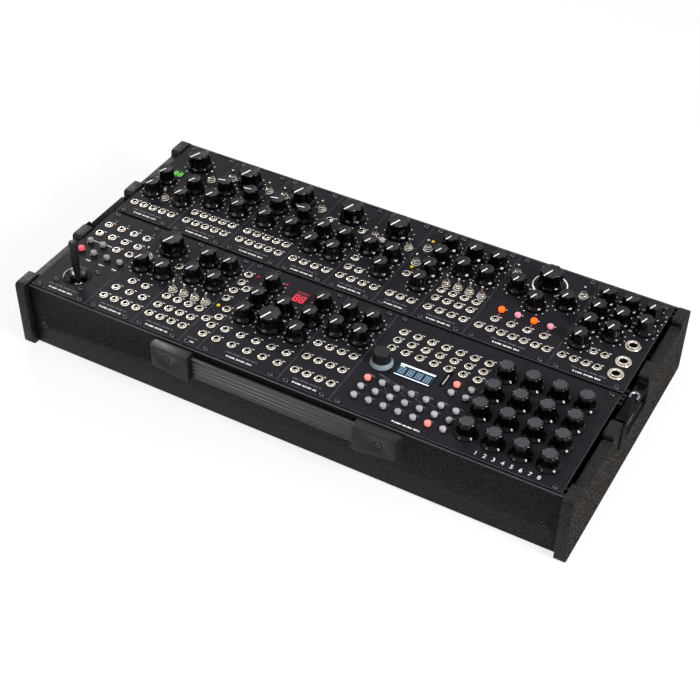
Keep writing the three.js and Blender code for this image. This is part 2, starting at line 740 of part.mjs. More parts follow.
function addCap(name, side, length) {
  const inner = side < 0 ? strapEnds[0] : strapEnds[1];
  const outer = inner + side * length;
  const back = frontWallOuter - seatGap;
  const faceShape = roundedOutline([
    [inner, -capTopDrop, capInnerRound], [outer, -capTopDrop, cheekRound],
    [outer, -capOuterDrop, cheekRound], [inner, -capInnerDrop, capInnerRound],
  ]);
  const face = standing(faceShape, capFront, back);
  const planShape = new THREE.Shape([
    new THREE.Vector2(inner, capFront), new THREE.Vector2(outer - side * capFlare, capFront),
    new THREE.Vector2(outer, back), new THREE.Vector2(inner, back),
  ]);
  const planGeometry = new THREE.ExtrudeGeometry(planShape, { depth: capInnerDrop, bevelEnabled: false });
  planGeometry.translate(0, 0, -capInnerDrop);
  const screwX = inner + side * length * capScrewShare;
  const screwZ = -(capTopDrop + capOuterDrop) / 2 - capScrewDrop;
  const dishCut = new THREE.CylinderGeometry(capScrewRadius, capDishRadius, capDishDepth, bigKnobSides);
  dishCut.translate(screwX, capFront + capDishDepth / 2, screwZ);
  const pocketX = ordered(inner - side * overrun, inner + side * (strapTuck + seatGap));
  const [pocketY, pocketZ] = [strapY, strapZ].map(([from, to]) => [from - seatGap, to + seatGap]);
  const pocket = box(pocketX, pocketY, pocketZ);
  parts.add(meshOf(name, cut(face.intersect(solid(planGeometry)), [solid(dishCut), pocket]), rubberFinish));
}

function addStrap() {
  const ribPitch = strapWidth / strapRibs;
  const grooves = Array.from({ length: strapRibs - 1 }, (_, index) =>
    box([strapEnds[0], strapEnds[1]], [strapY[0] - overrun, strapY[0] + strapRibDepth],
      about(strapZ[0] + (index + 1) * ribPitch, strapRibDepth)));
  const strap = box([strapEnds[0] - strapTuck, strapEnds[1] + strapTuck], strapY, strapZ);
  const lugY = [strapY[1] - strapThickness / 2, frontWallOuter - seatGap];
  const lugZ = about((strapZ[0] + strapZ[1]) / 2, lugHeight);
  const lugs = lugShares.map((share) =>
    box(about(strapEnds[0] + share * strapLength, lugLength), lugY, lugZ));
  parts.add(meshOf('handle_strap', join([cut(strap, grooves), ...lugs]), rubberFinish));
}

// Power inlet housing with its plug recess and rocker, and the power board
function inletPlace() {
  return [inletMiddleShare * rowWidth, wallBottom * inletDropShare];
}

function addPower() {
  const [x, z] = inletPlace();
  const housing = box(about(x, inletWidth), [inletRear - inletDepth, inletRear - inletFlangeThickness / 2],
    about(z, inletHeight));
  const flange = box(about(x, inletWidth + 2 * inletFlange), [inletRear - inletFlangeThickness, inletRear],
    about(z, inletHeight + 2 * inletFlange));
  const plugMiddle = x - inletWidth / 2 + inletWall + plugWidth / 2;
  const recessHeight = inletHeight - 3 * inletWall;
  const plugY = [inletRear - inletDepth + inletWall, inletRear + overrun];
  const plugRecess = box(about(plugMiddle, plugWidth), plugY, about(z, recessHeight));
  const rockerMiddle = x + inletWidth / 2 - inletWall - rockerWidth / 2;
  const pivotY = inletRear - rockerDepth / 2 - rockerProud;
  const rockerY = [pivotY - rockerDepth, inletRear + overrun];
  const rockerRecess = box(about(rockerMiddle, rockerWidth + 2 * seatGap), rockerY, about(z, recessHeight));
  const pinReach = rockerWidth / 2 + inletWall / 2;
  const [holeStart, holeEnd] = about(rockerMiddle, 2 * pinReach);
  const hole = lying('x', rockerPinRadius + seatGap, holeStart, holeEnd, pinSides, [pivotY, z]);
  const inlet = cut(join([housing, flange]), [plugRecess, rockerRecess, hole]);
  parts.add(meshOf('power_inlet', inlet, rubberFinish));

  const leanRoom = rockerDepth * Math.tan(THREE.MathUtils.degToRad(rockerLean)) / 2;
  const halfRise = recessHeight / 2 - leanRoom - seatGap;
  const face = rockerDepth / 2;
  const rockerShape = new THREE.Shape([
    new THREE.Vector2(-face, -halfRise), new THREE.Vector2(face + rockerProud, -halfRise),
    new THREE.Vector2(face, 0), new THREE.Vector2(face + rockerProud, halfRise),
    new THREE.Vector2(-face, halfRise),
  ]);
  const pin = lying('x', rockerPinRadius, seatGap - pinReach, pinReach - seatGap, pinSides, [0, 0]);
  const rockerBody = sideways(rockerShape, -rockerWidth / 2, rockerWidth / 2).add(pin);
  const rocker = meshOf('power_switch', rockerBody.rotate([rockerLean, 0, 0]), knobFinish);
  rocker.position.set(rockerMiddle, pivotY, z);
  parts.add(rocker);

  const boardZ = wallBottom + wallThickness + seatGap + powerBoardFoot;
  const middleY = rowsDepth / 2;
  const boardX = about(bayMiddle, boardLength);
  const board = box(boardX, about(middleY, powerBoardWidth), [boardZ, boardZ + boardThickness]);
  const headerZ = [boardZ + boardThickness / 2, boardZ + headerHeight];
  const headers = grid(headerShares, headerRowShares).map(([alongShare, acrossShare]) => {
    const headerX = about(bayMiddle + alongShare * boardLength, headerLength);
    return box(headerX, about(middleY + acrossShare * powerBoardWidth, headerWidth), headerZ);
  });
  const footZ = [boardZ - powerBoardFoot, boardZ + boardThickness / 2];
  const footX = [boardX[0] + postSize, boardX[1] - postSize];
  const footY = about(middleY, powerBoardWidth - 2 * postSize);
  const feet = footX.flatMap((footMiddle) =>
    footY.map((row) => squareUp(postSize, footZ, footMiddle, row)));
  parts.add(meshOf('power_board', join([board, ...headers, ...feet]), boardFinish));
}

addWalls();
addCheeks();
addRails();
addCap('left_strap_cap', -1, leftCapLength);
addCap('right_strap_cap', 1, rightCapLength);
addStrap();
addPower();
modules.forEach(addModule);

// The origin is on the surface that the case stands on, under the middle of its outline
const middle = new THREE.Box3().setFromObject(parts, true).getCenter(new THREE.Vector3());
parts.position.set(-middle.x, -middle.y, panelTop);

const model = new THREE.Group();
model.add(parts);

export default model;
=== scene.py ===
"""A modular synthesizer: two rows of front panels in a portable case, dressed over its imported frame."""
import itertools
import math

import bmesh
import bpy
from mathutils import Matrix, Vector


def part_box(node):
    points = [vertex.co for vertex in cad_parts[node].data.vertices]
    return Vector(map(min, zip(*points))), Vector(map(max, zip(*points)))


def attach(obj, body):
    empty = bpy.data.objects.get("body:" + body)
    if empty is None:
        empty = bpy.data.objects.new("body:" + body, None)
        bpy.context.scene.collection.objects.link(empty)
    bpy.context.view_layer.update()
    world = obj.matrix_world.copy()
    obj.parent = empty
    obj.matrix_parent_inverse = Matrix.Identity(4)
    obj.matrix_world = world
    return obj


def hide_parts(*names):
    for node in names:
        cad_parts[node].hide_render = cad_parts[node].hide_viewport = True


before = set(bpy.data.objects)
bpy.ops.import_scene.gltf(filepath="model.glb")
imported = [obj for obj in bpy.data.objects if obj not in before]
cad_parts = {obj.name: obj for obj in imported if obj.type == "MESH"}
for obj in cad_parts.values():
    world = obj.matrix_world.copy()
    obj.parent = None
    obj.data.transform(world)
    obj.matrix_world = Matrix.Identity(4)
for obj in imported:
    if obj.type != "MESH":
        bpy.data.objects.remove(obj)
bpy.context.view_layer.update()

bl_info = {
    "name": "Modular synthesizer",
    "version": (1, 0, 0),
    "blender": (4, 5, 0),
    "location": "3D View > Sidebar > Synthesizer",
    "description": "Models the case, panels and controls of a modular synthesizer over its packed frame",
    "category": "Object",
}

# Sizes shared by the panels, in millimetres. A panel's width counts in HP, and heights count from its face.
# A panel up to ONE_SCREW_HP wide has one column of screws. On a wider one the two columns stand the panel's
# width less SCREW_SPAN_LESS_HP apart.
MM = 0.001
HP = 5.08
PANEL_GAP = 0.36
PANEL_HEIGHT = 128.5
PANEL_THICKNESS = 2
ROW_PITCH = 132.46
ONE_SCREW_HP = 5
SCREW_SPAN_LESS_HP = 3
SCREW_FROM_SIDE = 7.5
SCREW_FROM_END = 3
BOARD_BOTTOM = -15.6
BOARD_TOP = -14
BOARD_FROM_SIDE = 2
BOARD_FROM_END = 14
POST_WIDTH = 4
POST_BOTTOM = -15
POST_TOP = -1
SOCKET_HOLE = 5
JOYSTICK_HOLE = 13.8
JOYSTICK_PIVOT = -14.6
PRINT_BOTTOM = 0.01
PRINT_TOP = 0.06
DISPLAY_TOP = 0.8

# The front left corner of the panels, in metres
ROW_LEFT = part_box("joystick_module")[0].x - PANEL_GAP / 2 * MM
ROW_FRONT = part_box("joystick_module")[0].y
PANEL_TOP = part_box("front_wall")[1].z

# How the controls stand, and the widest angle between faces that shade as one
QUARTER_TURN = math.radians(90)
POINTER_REST = math.radians(160.5)
POINTER_ASIDE = math.radians(105)
PLAIN_TURN = math.radians(38.5)
LEVER_LEAN = math.radians(12)
SMOOTH_ANGLE = math.radians(38)

# The two standard knobs: radius, height, the body's share of the radius, and the pointer's start, end, width
KNOB_SIZES = {
    "knob": (10.0, 14.5, 0.74, (-0.4, 7.1, 1.05)),
    "big_knob": (12.7, 17, 0.85, (-1, 10.5, 1.35)),
}
KNOB_FEET = {"fixed": 0.02, "turning": 0.5}

# A knob's skirt from its foot up, as shares of the flare beyond the body, and heights above the foot
SKIRT = (
    (0.92, 0.0), (1.0, 0.45), (1.0, 1.3), (0.96, 1.9), (0.84, 2.6), (0.66, 3.4), (0.48, 4.3), (0.36, 5.3),
    (0.27, 6.6), (0.2, 8.2), (0.12, 10.0),
)

# The sequencer's knob from its foot up, as radii and heights
PLAIN_KNOB = (
    (9.6, 0.02), (10.4, 0.5), (10.4, 1.2), (10.35, 1.35), (10.1, 1.65), (8.9, 3.0), (8.65, 3.3), (8.45, 4.3),
    (8.35, 6), (8.25, 9), (8.2, 12.2), (7.9, 13.2), (7.0, 14.0), (6.1, 14.5), (4.6, 14.5), (4.4, 14.35),
)

# How far each column of a knob's side is pinched, from one lobe to the next, in steps from these heights up
PINCHES = (1.0, 0.965, 0.91, 0.89, 0.91, 0.965)
PINCH_STARTS = (3, 4, 5)


def grid(column_shares, row_shares):
    """Every place where a column and a row meet, row by row."""
    return [(x, y) for y in row_shares for x in column_shares]


def spread(count, first_share, step_share):
    """Columns at even steps."""
    return [first_share + index * step_share for index in range(count)]


# Columns and rows that several modules share
FOUR_SHARES = (0.146, 0.382, 0.618, 0.854)
FIVE_SHARES = (0.143, 0.3215, 0.5, 0.6785, 0.857)
PAIR_SHARES = (0.264, 0.736)
ROW_1_SHARE = 0.145
ROW_2_SHARE = 0.26
ROW_3_SHARE = 0.358
SWITCH_SHARE = 0.438

# Both oscillators have the same controls, and two of their small knobs point aside
OSCILLATOR = dict(
    row=1, width=12, big_knob_shares=[(0.5, 0.786)], knob_shares=grid((0.262, 0.755), (0.606, 0.421)),
    toggle_shares=grid((0.164, 0.874), (0.776,)), jack_shares=grid(FIVE_SHARES, (ROW_2_SHARE, ROW_1_SHARE)),
    aside=(0, 1),
)

# Every module from left to right, with its controls as shares of the panel's width and height. Its start and
# width count in HP, "moving" names the kinds of control that have bodies of their own, and "lit" gives the
# buttons that are lit.
MODULES = (
    dict(
        name="joystick", row=0, start=0, width=12, joystick_share=(0.508, 0.23),
        jack_shares=grid((0.155, 0.4, 0.645, 0.89), (0.837, 0.72)) + [(0.645, 0.613), (0.89, 0.613)],
        button_shares=[(0.172, 0.6), (0.41, 0.6)] + grid((0.172, 0.41, 0.656, 0.9), (0.488,)),
        lamp_shares=grid((0.21, 0.456, 0.695, 0.94), (0.897,)), lit={2: "coral"}, moving=("buttons",),
        lamp_tones=("lamp_off",) * 4,
    ),
    dict(
        name="envelope", row=0, start=12, width=10, big_knob_shares=[(0.5, 0.816)],
        knob_shares=grid((0.27, 0.745), (0.549,)), toggle_shares=[(0.197, 0.669)],
        jack_shares=[(0.866, 0.68), (0.368, 0.374), (0.66, 0.374)] + grid((0.217, 0.512, 0.8), (ROW_2_SHARE,))
        + grid((0.157, 0.394, 0.63, 0.866), (ROW_1_SHARE,)), moving=("big_knobs",),
    ),
    dict(
        name="mixer", row=0, start=22, width=10, knob_shares=grid(PAIR_SHARES, (0.829, 0.624)),
        toggle_shares=grid(FOUR_SHARES, (SWITCH_SHARE,)),
        jack_shares=grid(FOUR_SHARES, (ROW_3_SHARE, 0.25, ROW_1_SHARE)),
    ),
    dict(
        name="multiple", row=0, start=32, width=4,
        jack_shares=grid((0.251,), (0.851, 0.751, 0.647, 0.549, 0.293))
        + grid((0.709,), (0.703, 0.447, 0.348, 0.249, ROW_1_SHARE)),
        lamp_shares=[(0.22, 0.458), (0.718, 0.867)], lamp_tones=("lit_amber", "dim_red"),
    ),
    dict(
        name="effects", row=0, start=36, width=16, big_knob_shares=[(0.5, 0.44)],
        knob_shares=grid((0.165, 0.835), (0.811, 0.625, 0.434)) + [(0.5, 0.625)],
        digits=((0.536, 0.814), (0.17, 0.127), "red"),
        jack_shares=grid((0.098, 0.298, 0.495, 0.689, 0.881), (ROW_2_SHARE, ROW_1_SHARE)),
        lamp_shares=[(0.282, 0.891)], lamp_tones=("dim_red",), moving=("big_knobs",),
    ),
    dict(
        name="attenuator", row=0, start=52, width=10, knob_shares=grid(PAIR_SHARES, (0.812, 0.626)),
        jack_shares=grid(FOUR_SHARES, (0.455, 0.299, ROW_1_SHARE)),
    ),
    dict(
        name="sequencer", row=0, start=62, width=42, encoder_share=(0.082, 0.49),
        plain_knob_shares=grid((0.555, 0.671, 0.786, 0.901), (0.784, 0.575, 0.375, 0.171)),
        button_shares=grid((0.406, 0.471), (0.5425, 0.454))
        + grid(spread(7, 0.0765, 0.0656), (0.311, 0.2145, 0.1205)),
        screen=((0.2317, 0.5005), (0.164, 0.125)), slot_share=(0.352, 0.565),
        jack_shares=grid(spread(7, 0.073, 0.0653), (0.846, 0.752, 0.661)),
        lit={0: "salmon", 4: "salmon", 23: "salmon"},
    ),
    dict(
        name="voice", row=1, start=0, width=12, big_knob_shares=[(0.5, 0.79)],
        knob_shares=grid((0.238, 0.8), (0.509, 0.325)), toggle_shares=[(0.886, 0.68), (0.508, 0.3)],
        digits=((0.307, 0.63), (0.2, 0.085), "green"),
        jack_shares=grid(FIVE_SHARES, (ROW_1_SHARE,)), moving=("big_knobs",),
    ),
    dict(OSCILLATOR, name="oscillator_a", start=12, moving=("big_knobs", "knobs", "toggles")),
    dict(OSCILLATOR, name="oscillator_b", start=24, moving=("big_knobs", "toggles")),
    dict(
        name="filter_a", row=1, start=36, width=10, big_knob_shares=[(0.5, 0.79)],
        knob_shares=grid(PAIR_SHARES, (0.513, 0.326)),
        jack_shares=grid((0.138, 0.85), (0.689,)) + grid(FOUR_SHARES, (ROW_1_SHARE,)), moving=("big_knobs",),
    ),
    dict(
        name="filter_b", row=1, start=46, width=10, big_knob_shares=[(0.5, 0.79)],
        knob_shares=grid(PAIR_SHARES, (0.513,)) + [(0.736, 0.326)],
        toggle_shares=grid((0.146, 0.86), (0.68,)), button_shares=[(0.326, 0.6525)],
        jack_shares=[(0.148, 0.377)] + grid((0.148, 0.382), (ROW_2_SHARE,))
        + grid(FOUR_SHARES, (ROW_1_SHARE,)),
        moving=("big_knobs",),
    ),
    dict(
        name="utility", row=1, start=56, width=8, knob_shares=grid((0.677,), (0.833, 0.665, 0.489, 0.321)),
        toggle_shares=grid((0.231,), (0.738, 0.549)), lamp_shares=grid((0.214,), (0.84, 0.493)),
        lamp_tones=("lit_amber", "lit_amber"),
        jack_shares=[(0.221, 0.402)] + grid((0.221, 0.497, 0.775), (ROW_1_SHARE,)),
    ),
    dict(
        name="level", row=1, start=64, width=10, knob_shares=grid(PAIR_SHARES, (0.819, 0.618)),
        toggle_shares=grid(FOUR_SHARES, (SWITCH_SHARE,)),
        jack_shares=grid(FOUR_SHARES, (ROW_3_SHARE, ROW_2_SHARE, ROW_1_SHARE)),
    ),
    dict(
        name="logic", row=1, start=74, width=16, big_knob_shares=[(0.5, 0.802)],
        knob_shares=grid((0.203, 0.8), (0.644,)) + [(0.5, 0.527)], toggle_shares=grid((0.09, 0.908), (0.8,)),
        button_shares=grid(spread(4, 0.21, 0.196), (0.366,)),
        jack_shares=grid(spread(4, 0.206, 0.196), (ROW_2_SHARE,))
        + grid(spread(7, 0.094, 0.1353), (ROW_1_SHARE,)),
        lit={0: "orange", 1: "pink", 2: "orange", 3: "pink"}, moving=("big_knobs",),
    ),
    dict(
        name="output", row=1, start=90, width=14, big_jack_shares=grid((0.8015,), (0.467, 0.283, 0.142)),
        knob_shares=grid((0.191, 0.503, 0.821), (0.831, 0.661)) + grid((0.191, 0.503), (0.489,))
        + [(0.191, 0.317)],
        jack_shares=grid((0.408, 0.557), (0.283,)) + grid((0.094, 0.252, 0.408, 0.557), (ROW_1_SHARE,)),
    ),
)


def shade(text):
    """The linear colour of a six-figure colour code."""
    parts = [int(text[start:start + 2], 16) / 255 for start in (0, 2, 4)]
    return tuple(((p + 0.055) / 1.055) ** 2.4 if p > 0.04045 else p / 12.92 for p in parts) + (1.0,)


def colour(title, description, code):
    """A colour that a user may change."""
    return bpy.props.FloatVectorProperty(
        name=title, description=description, subtype="COLOR", size=4, min=0, max=1, default=shade(code))


def length(title, description, millimetres):
    """A length that a user may change."""
    return bpy.props.FloatProperty(
        name=title, description=description, unit="LENGTH", subtype="DISTANCE", min=0,
        default=millimetres * MM)


class CaseLook(bpy.types.PropertyGroup):
    vinyl: colour("Wall vinyl", "Pebbled vinyl on the walls of the case", "0f1012")
    cheek: colour("Cheek vinyl", "Speckled vinyl on the outer faces of the cheeks", "0d0c0b")
    plastic: colour("Moulded plastic", "Edges of the cheeks, strap and caps", "0b0b0c")
    steel: colour("Latch", "Gloss black of the side latches", "0b0a09")
    rail: colour("Rail", "Anodised rails that the panels are screwed to", "18181a")
    edge: length("Case edge", "Rounding of the edges of the cheeks and caps", 1.6)
    wall_edge: length("Wall edge", "Rounding of the edges of the sheet walls", 0.5)


class PanelLook(bpy.types.PropertyGroup):
    paint: colour("Panel paint", "Matte paint of the front panels", "1b1a1f")
    print: colour("Print", "Dots and bars printed on the panels", "f0f0f2")
    faint: colour("Faint print", "The fainter lines printed on the panels", "5d5d62")
    board: colour("Board", "Circuit boards behind the panels", "070908")
    edge: length("Panel edge", "Rounding of the edges of the panels", 0.3)
    dot: length("Dot", "Width of the dots round a knob", 1.25)


class ControlLook(bpy.types.PropertyGroup):
    knob: colour("Knob", "Gloss black of the knobs", "040405")
    top: colour("Knob top", "Matte top of the knobs with a pointer", "1d1d20")
    plain_top: colour("Plain top", "Matte top of the sequencer's knobs", "3c3c41")
    nickel: colour("Nickel", "Jack nuts", "cbc3b8")
    toggle: colour("Toggle nickel", "Toggle nuts and levers", "c2bcb2")
    button: colour("Button", "Unlit buttons of the sequencer", "a3a0a5")
    grey_button: colour("Grey button", "Unlit buttons beside the joystick", "807f81")
    screw: colour("Screw", "Dark screws of the panels", "3e3e42")
    lobes: bpy.props.IntProperty(
        name="Lobes", description="Lobes round a knob", min=5, max=12, default=8)


class StageLook(bpy.types.PropertyGroup):
    floor: colour("Floor", "The pale floor that the case stands on", "f6f6f6")
    lens: bpy.props.FloatProperty(
        name="Lens", description="Focal length of the camera", unit="CAMERA", min=1, default=73.92)
    sky: bpy.props.FloatProperty(
        name="Sky", description="Strength of the even light all round", min=0, default=0.3)
    key: bpy.props.FloatProperty(
        name="Key light", description="Power of the overhead light", unit="POWER", min=0, default=9)
    side: bpy.props.FloatProperty(
        name="Side light", description="Power of the side light", unit="POWER", min=0, default=30)


# Materials
WHITE = (1.0, 1.0, 1.0, 1.0)
BLACK = (0.0, 0.0, 0.0, 1.0)


def start_material(name, base, rough, metallic=0.0, specular=0.5):
    """A plain finish and its shader, to which patterns can be added."""
    made = bpy.data.materials.new(name)
    made.use_nodes = True
    shader = made.node_tree.nodes["Principled BSDF"]
    shader.inputs["Base Color"].default_value = base
    shader.inputs["Roughness"].default_value = rough
    shader.inputs["Metallic"].default_value = metallic
    shader.inputs["Specular IOR Level"].default_value = specular
    return made, shader


def link(made, output, socket):
    made.node_tree.links.new(output, socket)


def node(made, kind, settings=(), **inputs):
    """Adds a node, sets its properties and plain inputs, and links the inputs given as sockets."""
    new = made.node_tree.nodes.new(kind)
    for key, value in dict(settings).items():
        setattr(new, key, value)
    for key, value in inputs.items():
        socket = new.inputs[key.replace("_", " ")]
        if isinstance(value, bpy.types.NodeSocket):
            link(made, value, socket)
        else:
            socket.default_value = value
    return new


def grain_of(made, size, detail=3.0):
    """Noise on object coordinates whose features are about the given size in millimetres."""
    place = node(made, "ShaderNodeTexCoord").outputs["Object"]
    noise = node(made, "ShaderNodeTexNoise", Vector=place, Scale=1 / (size * MM), Detail=detail)
    return noise.outputs["Fac"]


def pebbles_of(made, size):
    """The distance from the middles of rounded pebbles, of the given size in millimetres, a little bent."""
    pebble, bend = 1 / (size * MM), 0.0005
    place = node(made, "ShaderNodeTexCoord").outputs["Object"]
    warp = node(made, "ShaderNodeTexNoise", Vector=place, Scale=pebble / 2, Detail=2.0).outputs["Color"]
    bent = node(made, "ShaderNodeMix", {"data_type": "VECTOR"}, Factor=bend)
    link(made, place, bent.inputs[4])
    link(made, warp, bent.inputs[5])
    settings = {"feature": "SMOOTH_F1", "distance": "EUCLIDEAN"}
    cells = node(made, "ShaderNodeTexVoronoi", settings, Vector=bent.outputs[1], Scale=pebble, Smoothness=0.6)
    return cells.outputs["Distance"]


def vary(made, shader, fac, tones, rough_low, rough_high):
    """Lets a pattern vary a finish's colour, between two tones at two of its values, and its roughness."""
    ramp = node(made, "ShaderNodeValToRGB", Fac=fac)
    for index, (value, tone) in enumerate(tones):
        ramp.color_ramp.elements[index].position = value
        ramp.color_ramp.elements[index].color = tone
    link(made, ramp.outputs["Color"], shader.inputs["Base Color"])
    rough = node(made, "ShaderNodeMapRange", Value=fac, To_Min=rough_low, To_Max=rough_high)
    link(made, rough.outputs["Result"], shader.inputs["Roughness"])


def dent(made, shader, fac, depth, strength):
    """Lets a pattern dent a finish by a depth in millimetres."""
    bump = node(made, "ShaderNodeBump", Height=fac, Distance=depth * MM, Strength=strength)
    link(made, bump.outputs["Normal"], shader.inputs["Normal"])


def mixed(one, other, share):
    return tuple(a + (b - a) * share for a, b in zip(one, other))


def painted(name, base, rough, grain=0.4, depth=0.02, **settings):
    """A moulded, painted or plated finish with a fine grain, a little uneven in colour and gloss."""
    made, shader = start_material(name, base, rough, **settings)
    broad = grain_of(made, grain * 40)
    uneven = 0.15
    dark, light = (tuple(min(part * share, 1) for part in base) for share in (1 - uneven, 1 + uneven))
    vary(made, shader, broad, ((0.3, dark), (0.7, light)), rough * 0.85, min(rough * 1.2, 1.0))
    dent(made, shader, grain_of(made, grain, 4.0), depth, 0.3)
    return made


def vinyl(name, base, pebble_top_highlight, size, rough, depth, pebble_top_highlight_share, specular, crease_shade=0.62):
    """Pebbled vinyl: rounded bumps whose tops are painted lighter as a highlight, with painted shade
    darkening the hollows between them.
    """
    made, shader = start_material(name, base, rough, specular=specular)
    bumps = pebbles_of(made, size)
    # The pebble tops are painted lighter as a highlight, and the hollows darker towards black as painted
    # shade.
    tones = ((0.1, mixed(base, pebble_top_highlight, pebble_top_highlight_share)), (crease_shade, mixed(base, BLACK, 0.5)))
    vary(made, shader, bumps, tones, rough * 0.8, rough * 1.25)
    raised = node(made, "ShaderNodeMath", {"operation": "SUBTRACT"})
    raised.inputs[0].default_value = 1.0
    link(made, bumps, raised.inputs[1])
    dent(made, shader, raised.outputs["Value"], depth, 0.8)
    return made


def glowing(name, base, strength, rough=0.4):
    """A lit lens, button or display, with a slightly uneven face."""
    made, shader = start_material(name, base, rough, specular=0.3)
    shader.inputs["Emission Color"].default_value = base
    shader.inputs["Emission Strength"].default_value = strength
    dent(made, shader, grain_of(made, 0.8), 0.05, 0.3)
    return made


FINISHES = {}


def finish(name):
    """One finish of the synthesizer, made the first time that it is asked for."""
    if name not in FINISHES:
        FINISHES[name] = make_finish(name)
    return FINISHES[name]


def make_finish(name):
    """Makes one finish. A vinyl gives the tone of the painted highlight on its pebble tops, the size of its
    pebbles, roughness, depth, the highlight's share, gloss, and where the painted shade of its hollows
    starts.
    """
    scene = bpy.context.scene
    case, panel, control = scene.synth_case, scene.synth_panel, scene.synth_control
    recipes = {
        # The vinyls' pebble tops carry a painted highlight and their hollows painted shade. The cheeks' outer
        # faces take a brighter, browner highlight, painted for the side light falling on them.
        "wall_vinyl": lambda: vinyl(name, case.vinyl, shade("2a2b30"), 1.9, 0.4, 0.5, 0.55, 0.07),
        "cheek_vinyl": lambda: vinyl(name, case.cheek, shade("5c544e"), 1.35, 0.6, 0.6, 0.58, 0.01, 0.58),
        "cheek_plastic": lambda: vinyl(name, case.plastic, shade("323136"), 1.9, 0.4, 0.4, 0.5, 0.16),
        "case_plastic": lambda: painted(name, case.plastic, 0.38, grain=0.5, depth=0.05, specular=0.1),
        "latch_gloss": lambda: painted(name, case.steel, 0.1, grain=0.8, depth=0.01, specular=0.06),
        "latch_matte": lambda: painted(name, case.steel, 0.6, grain=0.5, depth=0.05, specular=0.02),
        # A chrome that stands for a glint on the right latch: a painted highlight.
        "latch_chrome": lambda: painted(name, shade("83868e"), 0.24, metallic=1.0, grain=0.5, depth=0.02),
        "rail_metal": lambda: painted(name, case.rail, 0.4, metallic=0.8),
        "black_rubber": lambda: painted(name, shade("19191a"), 0.36, grain=0.35, depth=0.05, specular=0.2),
        "strap_rubber": lambda: painted(name, shade("1b1b1d"), 0.3, grain=0.35, depth=0.03, specular=0.45),
        # Bevelled edges of the walls and panels are painted lighter, a painted highlight line along each
        # edge.
        "lit_edge": lambda: painted(name, shade("48484e"), 0.35, metallic=0.5),
        "panel_paint": lambda: painted(name, panel.paint, 0.5, grain=0.25, depth=0.02, specular=0.06),
        "print": lambda: painted(name, panel.print, 0.5),
        "faint_print": lambda: painted(name, panel.faint, 0.5, specular=0.2),
        "circuit_board": lambda: painted(name, panel.board, 0.5, specular=0.1),
        "knob_gloss": lambda: painted(name, control.knob, 0.06, grain=1.5, depth=0.008, specular=0.16),
        "knob_top": lambda: painted(name, control.top, 0.5, grain=0.2, depth=0.02, specular=0.15),
        "plain_top": lambda: painted(name, control.plain_top, 0.5, grain=0.2, depth=0.02, specular=0.15),
        "jack_nickel": lambda: painted(name, control.nickel, 0.2, metallic=1.0, grain=0.3, depth=0.015),
        "toggle_nickel": lambda: painted(name, control.toggle, 0.22, metallic=1.0, grain=0.3, depth=0.015),
        # Near black for holes and recesses: painted shade for their depth, over the black insides of the
        # jacks.
        "dark_hole": lambda: painted(name, shade("020202"), 0.8, specular=0.05),
        "screw_black": lambda: painted(name, control.screw, 0.22, metallic=0.9),
        "button_cap": lambda: painted(name, control.button, 0.4, grain=0.5, specular=0.3),
        "button_grey": lambda: painted(name, control.grey_button, 0.42, grain=0.5, specular=0.3),
        "bowl_plastic": lambda: painted(name, shade("1e2027"), 0.25, grain=0.4, specular=0.6),
        "encoder_core": lambda: painted(name, shade("121416"), 0.34, grain=0.4, specular=0.2),
        "encoder_skirt": lambda: painted(name, shade("74828c"), 0.3, grain=0.6, specular=0.5),
        "screen_glass": lambda: painted(name, shade("0f2336"), 0.16, grain=2.0, depth=0.005, specular=0.2),
        "screen_bar": lambda: glowing(name, shade("dcecf2"), 0.75),
        "screen_mark": lambda: glowing(name, shade("8fb4c8"), 0.35),
        "red_window": lambda: glowing(name, shade("3c0710"), 0.5, 0.15),
        "green_window": lambda: glowing(name, shade("06160a"), 0.3, 0.15),
        "lamp_off": lambda: painted(name, shade("3b3a39"), 0.3, grain=0.4),
        "lit_red": lambda: glowing(name, shade("e8203c"), 0.7),
        "lit_coral": lambda: glowing(name, shade("de4a50"), 0.6),
        "lit_green": lambda: glowing(name, shade("58c832"), 0.35),
        "lit_salmon": lambda: glowing(name, shade("ee7a72"), 0.66),
        "lit_orange": lambda: glowing(name, shade("ff3c04"), 4.0),
        "lit_pink": lambda: glowing(name, shade("d08794"), 0.3),
        "lit_amber": lambda: glowing(name, shade("d2ac1a"), 0.55),
        "dim_red": lambda: glowing(name, shade("7c0b1c"), 0.6),
    }
    return recipes[name]()


# Modelling steps
def clear():
    """Leaves edit mode and deselects everything."""
    if bpy.context.mode != "OBJECT":
        bpy.ops.object.mode_set(mode="OBJECT")
    bpy.ops.object.select_all(action="DESELECT")


def take(piece):
    """Selects one piece alone."""
    clear()
    piece.select_set(True)
    bpy.context.view_layer.objects.active = piece


def edit(piece):
    """Opens a piece in edit mode with all of it selected."""
    take(piece)
    bpy.ops.object.mode_set(mode="EDIT")
    bpy.ops.mesh.select_mode(type="VERT")
    bpy.ops.mesh.select_all(action="SELECT")


def pick(piece, kind, test):
    """Selects in edit mode the verts, edges or faces that pass a test."""
    bpy.ops.mesh.select_mode(type={"verts": "VERT", "edges": "EDGE", "faces": "FACE"}[kind])
    bpy.ops.mesh.select_all(action="DESELECT")
    work = bmesh.from_edit_mesh(piece.data)
    for item in getattr(work, kind):
        if test(item):
            item.select_set(True)
    work.select_flush_mode()
    bmesh.update_edit_mesh(piece.data)


def smooth(piece):
    take(piece)
    bpy.ops.object.shade_smooth_by_angle(angle=SMOOTH_ANGLE)
    return piece


def coat(piece, name, test=None):
    """Gives a finish to a piece, or to those of its faces that pass a test."""
    piece.data.materials.append(finish(name))
    slot = len(piece.data.materials) - 1
    for face in piece.data.polygons:
        if test is None or test(face):
            face.material_index = slot
    return piece


def recoat(piece, name):
    """Gives a piece one finish in place of those that it has."""
    piece.data.materials.clear()
    return coat(piece, name)


def slanted(face):
    """True for the faces of a bevelled edge."""
    return max(abs(part) for part in face.normal) < 0.95


